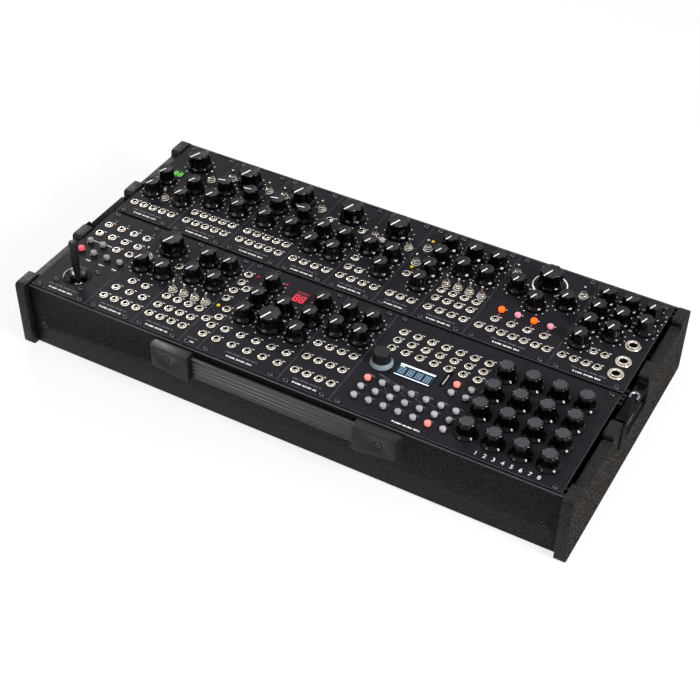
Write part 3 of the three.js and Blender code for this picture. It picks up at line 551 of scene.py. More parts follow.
def turned(name, profile, sides, loop=False):
    """A shape turned about Z: a ring is drawn, then extruded and resized to each radius and height."""
    clear()
    radius, height = profile[0]
    bpy.ops.mesh.primitive_circle_add(
        vertices=sides, radius=radius * MM, fill_type="NOTHING" if loop else "NGON",
        location=(0, 0, height * MM))
    piece = bpy.context.object
    piece.name = name
    bpy.ops.object.transform_apply(location=True)
    edit(piece)
    for (r0, z0), (r1, z1) in zip(profile, profile[1:]):
        bpy.ops.mesh.extrude_region_move(TRANSFORM_OT_translate={"value": (0, 0, (z1 - z0) * MM)})
        bpy.ops.transform.resize(value=(r1 / r0, r1 / r0, 1), center_override=(0, 0, z1 * MM))
    bpy.ops.mesh.select_all(action="SELECT")
    bpy.ops.mesh.remove_doubles(threshold=0.001 * MM)
    bpy.ops.mesh.normals_make_consistent(inside=False)
    clear()
    return piece


def block(name, low, high, edge=0.0, steps=2):
    """A box between two corners in metres, with its edges bevelled."""
    clear()
    low, high = Vector(low), Vector(high)
    bpy.ops.mesh.primitive_cube_add(size=1, location=(low + high) / 2, scale=high - low)
    piece = bpy.context.object
    piece.name = name
    bpy.ops.object.transform_apply(location=True, rotation=True, scale=True)
    if edge:
        edit(piece)
        bpy.ops.mesh.bevel(offset=edge, segments=steps, affect="EDGES", clamp_overlap=True)
        clear()
    return piece


def about(middle, width, depth, low, high):
    """The two corners of a box round a place, from its width, its depth and two heights in millimetres."""
    half = Vector((width / 2, depth / 2, 0)) * MM
    return middle - half + Vector((0, 0, low * MM)), middle + half + Vector((0, 0, high * MM))


def rounded(piece, width, steps, least_angle):
    """Rounds the edges of a piece that are sharper than an angle in degrees."""
    bevel = piece.modifiers.new("edges", "BEVEL")
    bevel.width = width
    bevel.segments = steps
    bevel.limit_method = "ANGLE"
    bevel.angle_limit = math.radians(least_angle)
    take(piece)
    bpy.ops.object.modifier_apply(modifier="edges")


def dressed(name, source, edge, steps=2):
    """A copy of a frame node, merged, cleaned and bevelled along its sharp edges."""
    clear()
    piece = bpy.data.objects.new(name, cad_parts[source].data.copy())
    piece.data.materials.clear()
    bpy.context.collection.objects.link(piece)
    edit(piece)
    bpy.ops.mesh.remove_doubles(threshold=0.002 * MM)
    bpy.ops.mesh.dissolve_limited(angle_limit=math.radians(1))
    clear()
    if edge:
        rounded(piece, edge, steps, 40)
    return smooth(piece)


def punched(piece, cutters):
    """Cuts holes through a piece."""
    cutter = joined("cutter", cutters)
    hole = piece.modifiers.new("holes", "BOOLEAN")
    hole.operation = "DIFFERENCE"
    hole.solver = "EXACT"
    hole.object = cutter
    take(piece)
    bpy.ops.object.modifier_apply(modifier="holes")
    bpy.data.objects.remove(cutter)


def joined(name, pieces):
    """Joins pieces into the first of them."""
    take(pieces[0])
    for piece in pieces:
        piece.select_set(True)
    if len(pieces) > 1:
        bpy.ops.object.join()
    pieces[0].name = name
    pieces[0].data.name = name
    return pieces[0]


def settle(piece, body="case", stands_for=()):
    """Lets a finished piece ride on its body, and hides the frame nodes it stands for."""
    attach(piece, body)
    if stands_for:
        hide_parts(*stands_for)


def settle_control(piece, name, title):
    """Names a control that moves, and lets it ride on its own body in place of its frame node."""
    piece.name = name
    settle(piece, title + "_body", [title])


def moved(piece, move):
    """Moves a piece within its own mesh, so that its object stays at the origin."""
    piece.data.transform(move)
    return piece


def lying(piece, place):
    """Lays a turned piece down at a place, with its top to the front."""
    return moved(piece, Matrix.Translation(place) @ Matrix.Rotation(QUARTER_TURN, 4, "X"))


# Shapes that repeat are modelled once and kept, and each use is a copy of its own
SHAPES = {}


def keep(name, piece):
    """Puts a finished shape aside under a name."""
    smooth(piece)
    SHAPES[name] = piece.data
    piece.data.use_fake_user = True
    bpy.data.objects.remove(piece)


def copies(shape, places, move=Matrix.Identity(4)):
    """Copies of a kept shape, each with its own mesh, turned or resized by the move and set at its place."""
    made = []
    for place in places:
        mesh = SHAPES[shape].copy()
        mesh.use_fake_user = False
        mesh.transform(Matrix.Translation(place) @ move)
        piece = bpy.data.objects.new(shape, mesh)
        bpy.context.collection.objects.link(piece)
        made.append(piece)
    return made


def spot(module, share, height=0.0):
    """A place on a module's panel from its shares of the width and height, in metres."""
    x = module["start"] * HP + PANEL_GAP / 2 + share[0] * (module["width"] * HP - PANEL_GAP)
    y = module["row"] * ROW_PITCH + share[1] * PANEL_HEIGHT
    return Vector((ROW_LEFT + x * MM, ROW_FRONT + y * MM, PANEL_TOP + height * MM))


def spots(module, kind):
    """The places of all of a module's controls of one kind."""
    if kind + "_share" in module:
        return [spot(module, module[kind + "_share"])]
    return [spot(module, share) for share in module.get(kind + "_shares", ())]


def numbered(title, index, count):
    """A control's title, with its number where the module has several of them."""
    return f"{title}_{index + 1}" if count > 1 else title


# The shapes of the controls, in millimetres above the panel
def skirted(radius, height, foot, top_share):
    """The profile of a knob with a narrow body on a flared glossy skirt."""
    top = radius * top_share
    profile = [(top + (radius - top) * share, foot + up) for share, up in SKIRT]
    profile += [(top * 1.01, height - 1.6), (top * 0.985, height - 0.6), (top * 0.93, height)]
    return profile + [(top * 0.74, height), (top * 0.7, height - 0.2)]


def lobed_knob(lobes, profile, top_tone):
    """A fluted knob: its turned body is pinched between the lobes, above its skirt."""
    foot, height = profile[0][1], profile[-2][1]
    sides = lobes * len(PINCHES)
    piece = turned("knob", profile, sides)
    edit(piece)
    for column, pinch in enumerate(PINCHES):
        for start in PINCH_STARTS if pinch < 1 else ():
            def in_column(vert):
                side = round(math.atan2(vert.co.y, vert.co.x) / (math.tau / sides))
                return side % len(PINCHES) == column and vert.co.z > (foot + start) * MM
            pick(piece, "verts", in_column)
            part = pinch ** (1 / len(PINCH_STARTS))
            bpy.ops.transform.resize(value=(part, part, 1), center_override=(0, 0, 0))
    clear()
    coat(piece, "knob_gloss")
    rim_fall = 0.22
    coat(piece, top_tone, lambda face: face.normal.z > 0.5 and face.center.z > (height - rim_fall) * MM)
    return piece


def with_pointer(piece, height, start, end, width):
    """Adds the white line on a knob's top, which points to the back before the knob is turned."""
    sunk, proud = 0.5, 0.12
    low = Vector((-width / 2, start, height - sunk)) * MM
    high = Vector((width / 2, end, height + proud)) * MM
    return joined("knob", [piece, coat(block("pointer", low, high, 0.1 * MM, 1), "print")])


def make_knobs():
    """The two standard knobs, fixed and turning, the sequencer's knob without a pointer, and the encoder."""
    lobes = bpy.context.scene.synth_control.lobes
    for standing, foot in KNOB_FEET.items():
        for size, (radius, height, top_share, pointer) in KNOB_SIZES.items():
            knob = lobed_knob(lobes, skirted(radius, height, foot, top_share), "knob_top")
            keep(f"{standing}_{size}", with_pointer(knob, height, *pointer))
    keep("plain_knob", lobed_knob(lobes, PLAIN_KNOB, "plain_top"))

    encoder = turned("encoder", [
        (10.0, 0.5), (10.5, 0.9), (10.5, 1.8), (10.1, 2.6), (9.2, 4.2), (8.6, 5.2), (8.1, 6.0), (7.8, 12.5),
        (7.5, 14.2), (6.9, 15.0), (5.4, 15.0), (5.2, 14.8)], 48)
    skirt_top = 4.8
    coat(encoder, "encoder_core")
    coat(encoder, "encoder_skirt", lambda face: face.center.z < skirt_top * MM)
    keep("encoder", encoder)


def make_fittings():
    """The small and large jacks, the toggle's collar and lever, and the screw."""
    small = [
        (4.2, 0.02), (4.2, 0.75), (3.95, 0.95), (3.2, 1.0), (3.05, 0.6), (2.75, 0.6), (2.7, 1.8), (2.5, 2.05),
        (2.15, 2.05), (1.95, 1.8), (1.9, 0.1)]
    large = [
        (7.3, 0.02), (7.3, 0.8), (7.0, 1.1), (6.4, 1.15), (6.2, 0.8), (5.8, 0.8), (5.7, 2.2), (5.4, 2.6),
        (4.3, 2.6), (3.8, 2.2), (3.4, 1.0), (3.3, -2.0), (3.2, -13.6)]
    for name, profile, sides, bore in (("jack", small, 16, 1.93), ("big_jack", large, 40, 3.38)):
        jack = coat(turned(name, profile, sides), "jack_nickel")
        # The bores of the jacks are painted near black: their black insides, with painted shade for their
        # depth.
        keep(name, coat(jack, "dark_hole", lambda face: face.center.xy.length < bore * MM))

    washer = turned("washer", [(4.5, 0.02), (4.5, 0.4), (4.3, 0.55)], 20)
    nut = turned("nut", [(4.2, 0.5), (4.2, 2.0), (3.8, 2.4)], 6)
    collar = turned("collar", [
        (2.9, 2.0), (2.9, 3.8), (2.7, 4.2), (2.3, 4.3), (2.15, 4.0), (2.05, 0.6)], 20)
    keep("collar", coat(joined("collar", [washer, nut, collar]), "toggle_nickel"))
    lever = turned("lever", [
        (0.5, 0.5), (1.0, 0.9), (1.15, 1.6), (0.85, 2.6), (0.95, 4.0), (1.2, 8.0), (1.3, 9.3), (1.15, 10.1),
        (0.6, 10.5)], 12)
    keep("lever", coat(moved(lever, Matrix.Rotation(-LEVER_LEAN, 4, "X")), "toggle_nickel"))

    screw = turned("screw", [
        (2.8, 0.02), (2.8, 0.5), (2.5, 1.0), (1.9, 1.35), (1.25, 1.4), (1.15, 1.3), (1.05, 0.5)], 12)
    coat(screw, "screw_black")
    # The screw's recess is painted near black, as painted shade.
    keep("screw", coat(screw, "dark_hole", lambda face: face.center.z < 0.7 * MM and face.normal.z > 0.9))


def make_small_parts():
    """The button caps and their ring, the lamps, the dot, and the bars that are resized at each use."""
    for name, foot, radius, tone in (
            ("grey_button", 1.3, 3.05, "button_grey"), ("button", 0.3, 2.9, "button_cap")):
        top = foot + 3.3
        cap = turned("button", [
            (1.6, foot - 0.25), (1.6, foot), (radius - 0.15, foot), (radius, foot + 0.25),
            (radius, top - 0.8), (radius - 0.15, top - 0.35), (radius - 0.55, top - 0.1), (1.2, top)], 20)
        keep(name, coat(cap, tone))
    # A gloss black ring round each button, standing for the dark gap and shade round it: painted shade.
    ring = turned("ring", [
        (3.2, 0.02), (3.6, 0.02), (3.6, 0.6), (3.5, 0.75), (3.25, 0.75), (3.2, 0.6), (3.2, 0.02)], 20, True)
    keep("button_ring", coat(ring, "knob_gloss"))

    for tone in ("lit_amber", "dim_red", "lamp_off"):
        lamp = turned("lamp", [(1.7, 0.02), (1.7, 0.35), (1.45, 0.75), (0.9, 1.0), (0.3, 1.05)], 14)
        keep(tone, coat(lamp, tone))
    half = bpy.context.scene.synth_panel.dot / MM / 2
    keep("dot", coat(turned("dot", [(half, PRINT_BOTTOM), (half * 0.9, PRINT_TOP)], 8), "print"))
    for name, tone in (("bar", "print"), ("faint_bar", "faint_print")):
        keep(name, coat(block("bar", *about(Vector(), 1, 1, PRINT_BOTTOM, PRINT_TOP)), tone))


class SYNTH_OT_shapes(bpy.types.Operator):
    """Models each control once, ready to be copied onto the panels"""
    bl_idname = "synth.shapes"
    bl_label = "Control shapes"

    def execute(self, context):
        make_knobs()
        make_fittings()
        make_small_parts()
        return {"FINISHED"}


class SYNTH_OT_walls(bpy.types.Operator):
    """Dresses the walls, bottom, rails and power board of the case"""
    bl_idname = "synth.walls"
    bl_label = "Walls and rails"

    def execute(self, context):
        look = context.scene.synth_case
        rim = PANEL_TOP - 3 * MM
        for name in ("front_wall", "rear_wall", "bottom_panel"):
            wall = coat(dressed(name + "_skin", name, look.wall_edge), "wall_vinyl")
            # The top edges of the wall are painted lighter, as a painted highlight line.
            coat(wall, "lit_edge", lambda face: slanted(face) and face.center.z > rim)
            settle(wall, stands_for=[name])
        self.fasteners()
        for row in ("lower", "upper"):
            for end in ("front", "rear"):
                name = f"{row}_{end}_rail"
                rail = coat(dressed(name + "_bar", name, 0.4 * MM), "rail_metal")
                settle(rail, stands_for=[name])
        board = coat(dressed("power_board_assembly", "power_board", 0.2 * MM), "circuit_board")
        board_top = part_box("power_board")[0].z + 7 * MM
        coat(board, "case_plastic", lambda face: face.center.z > board_top)
        settle(board, stands_for=["power_board"])
        return {"FINISHED"}

    def fasteners(self):
        """Two round heads in the front wall, below the panels."""
        drop = 43
        wall_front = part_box("front_wall")[0].y
        heads = []
        for aside in (11.5, 520):
            head = turned("head", [
                (3.6, -0.6), (3.6, 0.5), (3.2, 0.95), (2.0, 1.0), (1.8, 0.9), (1.6, 0.1)], 24)
            heads.append(lying(head, (ROW_LEFT + aside * MM, wall_front + MM, PANEL_TOP - drop * MM)))
        settle(smooth(coat(joined("wall_fasteners", heads), "screw_black")))


class SYNTH_OT_cheeks(bpy.types.Operator):
    """Dresses the stepped cheeks and their side latches"""
    bl_idname = "synth.cheeks"
    bl_label = "Cheeks and latches"

    def execute(self, context):
        look = context.scene.synth_case
        for side in ("left", "right"):
            cheek = dressed(side + "_cheek_skin", side + "_cheek", look.edge, 3)
            low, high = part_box(side + "_cheek")
            outer = low.x if side == "left" else high.x

            def outer_face(face, editing=False):
                middle = face.calc_center_median() if editing else face.center
                return abs(face.normal.x) > 0.99 and abs(middle.x - outer) < 0.5 * MM
            edit(cheek)
            pick(cheek, "faces", lambda face: outer_face(face, editing=True))
            bpy.ops.mesh.inset(thickness=2.2 * MM, depth=-0.25 * MM)
            clear()
            # The outer faces take the lit cheek vinyl, whose pebble tops carry a stronger painted highlight
            # than the rest of the cheek.
            coat(cheek, "cheek_plastic")
            coat(cheek, "cheek_vinyl", outer_face)
            settle(smooth(cheek), stands_for=[side + "_cheek"])
            dish = coat(dressed(side + "_latch_pan", side + "_latch_dish", 0.45 * MM), "latch_gloss")
            coat(dish, "latch_matte", lambda face: abs(face.normal.x) > 0.9)
            # The right latch gets a chrome arch as a painted highlight, for the glint on its lever's end.
            if side == "right":
                dish = joined("right_latch_pan", [dish, self.tongue((low.x + high.x) / 2)])
            settle(smooth(dish), stands_for=[side + "_latch_dish"])
            lever = coat(dressed(side + "_latch_paddle", side + "_latch_lever", 0.4 * MM), "latch_gloss")
            settle(lever, side + "_latch_lever_body", [side + "_latch_lever"])
        return {"FINISHED"}

    def tongue(self, x):
        """A chrome arch on the plate of the right latch, with two legs to the front. It stands for the
        U-shaped glint on the latch lever's rounded end, a painted highlight.
        """
        near, leg, back, plate_drop = 0.1 * MM, 5 * MM, 139 * MM, 5.05 * MM
        arch = turned("tongue", [
            (2.3, 0), (4.7, 0), (4.7, 0.8), (4.0, 1.6), (3.0, 1.6), (2.3, 0.8), (2.3, 0)], 24, True)
        edit(arch)
        pick(arch, "faces", lambda face: face.calc_center_median().y < -near)
        bpy.ops.mesh.delete(type="FACE")
        pick(arch, "verts", lambda vert: abs(vert.co.y) < near)
        bpy.ops.mesh.select_mode(type="EDGE")
        bpy.ops.mesh.extrude_region_move(TRANSFORM_OT_translate={"value": (0, -leg, 0)})
        bpy.ops.mesh.select_all(action="SELECT")
        bpy.ops.mesh.fill_holes(sides=0)
        bpy.ops.mesh.normals_make_consistent(inside=False)
        clear()
        place = Matrix.Translation((x, ROW_FRONT + back, PANEL_TOP - plate_drop))
        return moved(coat(arch, "latch_chrome"), place)


class SYNTH_OT_strap(bpy.types.Operator):
    """Models the ribbed strap handle and dresses its two caps"""
    bl_idname = "synth.strap"
    bl_label = "Strap handle"

    def execute(self, context):
        self.caps(context.scene.synth_case.edge * 1.3)
        low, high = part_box("handle_strap")
        depth = 5 * MM
        strap = self.band(low, Vector((high.x, low.y + depth, high.z)))
        half_width, inset = 4 * MM, 5 * MM
        lugs = [block("lug", (x - half_width, low.y + depth - MM, low.z + inset),
                      (x + half_width, high.y, high.z - inset), 0.5 * MM)
                for x in (low.x + 44.9 * MM, low.x + 67.9 * MM)]
        strap = coat(joined("handle_strap_band", [strap] + lugs), "strap_rubber")
        settle(smooth(strap), stands_for=["handle_strap"])
        return {"FINISHED"}

    def caps(self, edge):
        """The caps at the strap's ends, each with a dished screw a little off its middle."""
        sink, drop = 1.9 * MM, 12.2 * MM
        screws = []
        for side, share in (("left", 0.44), ("right", 0.56)):
            name = side + "_strap_cap"
            settle(coat(dressed(name + "_cover", name, edge, 4), "black_rubber"), stands_for=[name])
            low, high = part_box(name)
            screw = turned("screw", [
                (3.1, -1.0), (3.1, 0.6), (2.7, 1.0), (2.2, 1.05), (2.0, 0.8), (1.6, 0.75), (1.5, 0.2)], 24)
            screws.append(lying(screw, (low.x + (high.x - low.x) * share, low.y + sink, high.z - drop)))
        settle(smooth(coat(joined("cap_screws", screws), "screw_black")))

    def band(self, low, high):
        """The flat band, with a rounded groove sunk into its front between every two ribs."""
        ribs, inner, outer, near = 5, 0.5 * MM, 1.1 * MM, 0.1 * MM
        strap = block("handle_strap_band", low, high)
        edit(strap)
        grooves = [low.z + (high.z - low.z) / ribs * index for index in range(1, ribs)]
        for groove in grooves:
            for shift in (-outer, -inner, inner, outer):
                bpy.ops.mesh.select_all(action="SELECT")
                bpy.ops.mesh.bisect(plane_co=(0, 0, groove + shift), plane_no=(0, 0, 1))
        for reach, sink in ((inner, 0.9 * MM), (outer, 0.35 * MM)):
            pick(strap, "verts", lambda vert: abs(vert.co.y - low.y) < MM and any(
                abs(abs(vert.co.z - groove) - reach) < near for groove in grooves))
            bpy.ops.transform.translate(value=(0, sink, 0))
        clear()
        rounded(strap, 1.0 * MM, 3, 60)
        return strap


class SYNTH_OT_power(bpy.types.Operator):
    """Dresses the power inlet with its plug pins, and its rocker switch"""
    bl_idname = "synth.power"
    bl_label = "Power inlet"

    def execute(self, context):
        low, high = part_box("power_inlet")
        inlet = coat(dressed("power_inlet_housing", "power_inlet", 0.5 * MM), "black_rubber")
        socket = (low + high) / 2 - Vector((10, 0, 0)) * MM
        front, back = low.y + 1.5 * MM, high.y - 5 * MM
        half_width, half_height = 1 * MM, 2.4 * MM
        pins = []
        for shift, lift in ((-7, -1.5), (0, 2.5), (7, -1.5)):
            x, z = socket.x + shift * MM, socket.z + lift * MM
            pins.append(block("pin", (x - half_width, front, z - half_height),
                              (x + half_width, back, z + half_height), 0.3 * MM))
        inlet = joined("power_inlet_housing", [inlet, coat(joined("pins", pins), "jack_nickel")])
        settle(inlet, stands_for=["power_inlet"])
        rocker = coat(dressed("power_rocker", "power_switch", 0.4 * MM), "knob_gloss")
        settle(rocker, "power_switch_body", ["power_switch"])
        return {"FINISHED"}


class SYNTH_OT_panels(bpy.types.Operator):
    """Models each module's front panel with its holes, board and posts"""
    bl_idname = "synth.panels"
    bl_label = "Panels"

    def execute(self, context):
        for module in MODULES:
            plate = block(
                "plate", spot(module, (0, 0), -PANEL_THICKNESS), spot(module, (1, 1)),
                context.scene.synth_panel.edge)
            holes = [self.hole(place, SOCKET_HOLE, 24) for place in spots(module, "big_jack")]
            holes += [self.hole(place, JOYSTICK_HOLE, 48) for place in spots(module, "joystick")]
            if holes:
                punched(plate, holes)
            coat(plate, "panel_paint")
            # The panel's bevelled edges are painted lighter, as a painted highlight line.
            coat(plate, "lit_edge", slanted)
            panel = joined(module["name"] + "_panel", [plate, self.board(module)])
            settle(panel, stands_for=[module["name"] + "_module"])
        return {"FINISHED"}

    def hole(self, place, radius, sides):
        """A cutter for a round hole, longer than the panel is thick."""
        return moved(turned("hole", [(radius, -4), (radius, 1)], sides), Matrix.Translation(place))

    def board(self, module):
        """The circuit board behind a panel, on two posts. The joystick's board stops short of the stick."""
        front_share = SWITCH_SHARE if "joystick_share" in module else BOARD_FROM_END / PANEL_HEIGHT
        inset = BOARD_FROM_SIDE * MM
        low = spot(module, (0, front_share), BOARD_BOTTOM) + Vector((inset, 0, 0))
        high = spot(module, (1, 1), BOARD_TOP) - Vector((inset, BOARD_FROM_END * MM, 0))
        parts = [block("board", low, high, 0.2 * MM)]
        for y in (low.y + POST_WIDTH / 2 * MM, high.y - POST_WIDTH / 2 * MM):
            middle = Vector(((low.x + high.x) / 2, y, PANEL_TOP))
            corners = about(middle, POST_WIDTH, POST_WIDTH, POST_BOTTOM, POST_TOP)
            parts.append(block("post", *corners, 0.3 * MM))
        return coat(joined("board", parts), "circuit_board")


class SYNTH_OT_fittings(bpy.types.Operator):
    """Sets the jacks, screws, toggles and lamps into the panels"""
    bl_idname = "synth.fittings"
    bl_label = "Jacks, screws and toggles"

    def execute(self, context):
        for module in MODULES:
            name, moving = module["name"], module.get("moving", ())
            made = copies("jack", spots(module, "jack")) + copies("big_jack", spots(module, "big_jack"))
            made += copies("collar", spots(module, "toggle"))
            levers = copies("lever", spots(module, "toggle"))
            if "toggles" in moving:
                for index, lever in enumerate(levers):
                    title = numbered(name + "_toggle", index, len(levers))
                    settle_control(lever, title + "_lever", title)
            else:
                made += levers
            settle(joined(name + "_fittings", made))
            settle(joined(name + "_screws", copies("screw", self.screw_places(module))))
            lamps = []
            for place, tone in zip(spots(module, "lamp"), module.get("lamp_tones", ())):
                lamps += copies(tone, [place])
            if lamps:
                settle(joined(name + "_lamps", lamps))
        return {"FINISHED"}

    def screw_places(self, module):
        """Near the four corners of a panel, or in one column on a narrow one."""
        width = module["width"] * HP - PANEL_GAP
        columns = [SCREW_FROM_SIDE / width]
        if module["width"] > ONE_SCREW_HP:
            columns.append((SCREW_FROM_SIDE + (module["width"] - SCREW_SPAN_LESS_HP) * HP) / width)
        end = SCREW_FROM_END / PANEL_HEIGHT
        return [spot(module, share) for share in grid(columns, (end, 1 - end))]


class SYNTH_OT_knobs(bpy.types.Operator):
    """Sets the knobs on the panels, the turning ones each on their own"""
    bl_idname = "synth.knobs"
    bl_label = "Knobs"

    def execute(self, context):
        for module in MODULES:
            name, moving = module["name"], module.get("moving", ())
            fixed = []
            for kind in KNOB_SIZES:
                places = spots(module, kind)
                turns = kind + "s" in moving
                for index, place in enumerate(places):
                    aside = kind == "knob" and index in module.get("aside", ())
                    turn = Matrix.Rotation(POINTER_ASIDE if aside else POINTER_REST, 4, "Z")
                    piece = copies(("turning_" if turns else "fixed_") + kind, [place], turn)[0]
                    if not turns:
                        fixed.append(piece)
                        continue
                    title = numbered(name + "_small_knob", index, len(places))
                    if kind == "big_knob":
                        title = name + "_knob"
                    settle_control(piece, title + "_cap", title)
            plain_turn = Matrix.Rotation(PLAIN_TURN, 4, "Z")
            fixed += copies("plain_knob", spots(module, "plain_knob"), plain_turn)
            if fixed:
                settle(joined(name + "_knobs", fixed))
            for piece in copies("encoder", spots(module, "encoder")):
                settle_control(piece, "sequencer_encoder_cap", "sequencer_encoder_knob")
        return {"FINISHED"}


class SYNTH_OT_buttons(bpy.types.Operator):
    """Sets the buttons on the panels, some of them lit"""
    bl_idname = "synth.buttons"
    bl_label = "Buttons"

    def execute(self, context):
        for module in MODULES:
            name, lit = module["name"], module.get("lit", {})
            places = spots(module, "button")
            presses = "buttons" in module.get("moving", ())
            fixed = []
            for index, place in enumerate(places):
                piece = copies("grey_button" if presses else "button", [place])[0]
                if index in lit:
                    recoat(piece, "lit_" + lit[index])
                if not presses:
                    fixed.append(piece)
                    continue
                title = numbered(name + "_button", index, len(places))
                settle_control(piece, title + "_cap", title)
            if fixed:
                settle(joined(name + "_buttons", fixed))
            # Rings of gloss black round the buttons, as painted shade in the gap round them.
            if places:
                settle(joined(name + "_button_rings", copies("button_ring", places)))
        return {"FINISHED"}


class SYNTH_OT_joystick(bpy.types.Operator):
    """Models the joystick's bowl, and dresses its gimbal and stick"""
    bl_idname = "synth.joystick"
    bl_label = "Joystick"

    def execute(self, context):
        at = Matrix.Translation(spots(MODULES[0], "joystick")[0])
        bowl = turned("bowl", [
            (14.1, 0.02), (14.1, 0.3), (13.9, 0.4), (12.9, 0.4), (12.6, 0.1), (12.4, -0.5), (10, -4),
            (7.5, -8), (7.5, -9.3), (8.9, -9.3), (13.5, -1.2), (13.5, 0.02), (14.1, 0.02)], 48, True)
        coat(bowl, "knob_gloss")
        coat(bowl, "bowl_plastic", lambda face: face.center.z < -0.1 * MM and face.normal.z > 0.1)
        ears = []
        for side in (-1, 1):
            low, high = about(Vector((side * 10.8 * MM, 0, 0)), 3, 6, -17.6, -7)
            ears.append(coat(block("ear", low, high, 0.3 * MM), "case_plastic"))
        reach = 13.5 * MM
        corners = [Vector((x, y, 0)) for x, y in grid((-reach, reach), (-reach, reach))]
        body = joined("joystick_bowl", [bowl] + ears + copies("screw", corners))
        settle(smooth(moved(body, at)))
        gimbal = coat(dressed("joystick_gimbal_ring", "joystick_gimbal", 0.3 * MM), "case_plastic")
        settle(gimbal, "joystick_gimbal_body", ["joystick_gimbal"])

        stick = turned("stick", [
            (2.2, -17.5), (2.4, -17.2), (2.4, 0.5), (2.7, 3), (3.2, 9), (3.9, 20), (4.3, 28), (4.4, 31),
            (4.35, 35), (4.1, 38.2), (3.5, 39.5), (2.4, 39.98)], 32)
        collar = turned("collar", [
            (3.0, -9.8), (3.9, -9.5), (4.0, -8.6), (3.5, -7.9), (2.5, -7.6), (2.35, -7.5)], 24)
        radius = 6.4
        turns = [math.radians(turn) for turn in (52, 44, 34, 24, 14, 5)]
        dome = turned("dome", [
            (radius * math.sin(turn), radius * math.cos(turn) + JOYSTICK_PIVOT) for turn in turns], 36)
        pin = turned("pin", [(0.9, -8.9), (1.1, -8.7), (1.1, 8.7), (0.9, 8.9)], 12)
        grip = [coat(stick, "black_rubber"), coat(collar, "jack_nickel"), coat(dome, "black_rubber"),
                coat(lying(pin, (0, 0, JOYSTICK_PIVOT * MM)), "jack_nickel")]
        grip = smooth(moved(joined("joystick_grip", grip), at))
        settle(grip, "joystick_stick_body", ["joystick_stick"])
        return {"FINISHED"}


# Marks that are printed on the panels or shown on the displays
def scaled(width, depth):
    return Matrix.Diagonal((width, depth, 1, 1))


def along(turn, distance):
    """A step of some millimetres at an angle that counts clockwise from the back."""
    return Vector((math.sin(turn), math.cos(turn), 0)) * distance * MM


def bars(middle, shape, marks, height=0.0, tone=None):
    """Flat marks round a place, each given as x, y, width and depth in millimetres."""
    made = []
    for x, y, width, depth in marks:
        made += copies(shape, [middle + Vector((x, y, height)) * MM], scaled(width, depth))
    for mark in made if tone else ():
        recoat(mark, tone)
    return made


def line(start, end, width=0.28):
    """A thin printed line between two places on the panels."""
    run = end - start
    turn = Matrix.Rotation(math.atan2(run.y, run.x), 4, "Z")
    return copies("faint_bar", [(start + end) / 2], turn @ scaled(run.length / MM, width))


def arc(middle, radius, width, reach):
    """A printed ring that is open at the front, and reaches to an angle from the back on either side."""
    inner, outer = radius - width / 2, radius + width / 2
    ring = turned("ring", [
        (inner, PRINT_BOTTOM), (outer, PRINT_BOTTOM), (outer, PRINT_TOP), (inner, PRINT_TOP),
        (inner, PRINT_BOTTOM)], 72, True)
    edit(ring)

    def in_gap(face):
        centre = face.calc_center_median()
        return not -reach < math.atan2(centre.x, centre.y) < reach
    pick(ring, "faces", in_gap)
    bpy.ops.mesh.delete(type="FACE")
    clear()
    edit(ring)
    bpy.ops.mesh.fill_holes(sides=0)
    bpy.ops.mesh.normals_make_consistent(inside=False)
    clear()
    return moved(coat(ring, "print"), Matrix.Translation(middle))


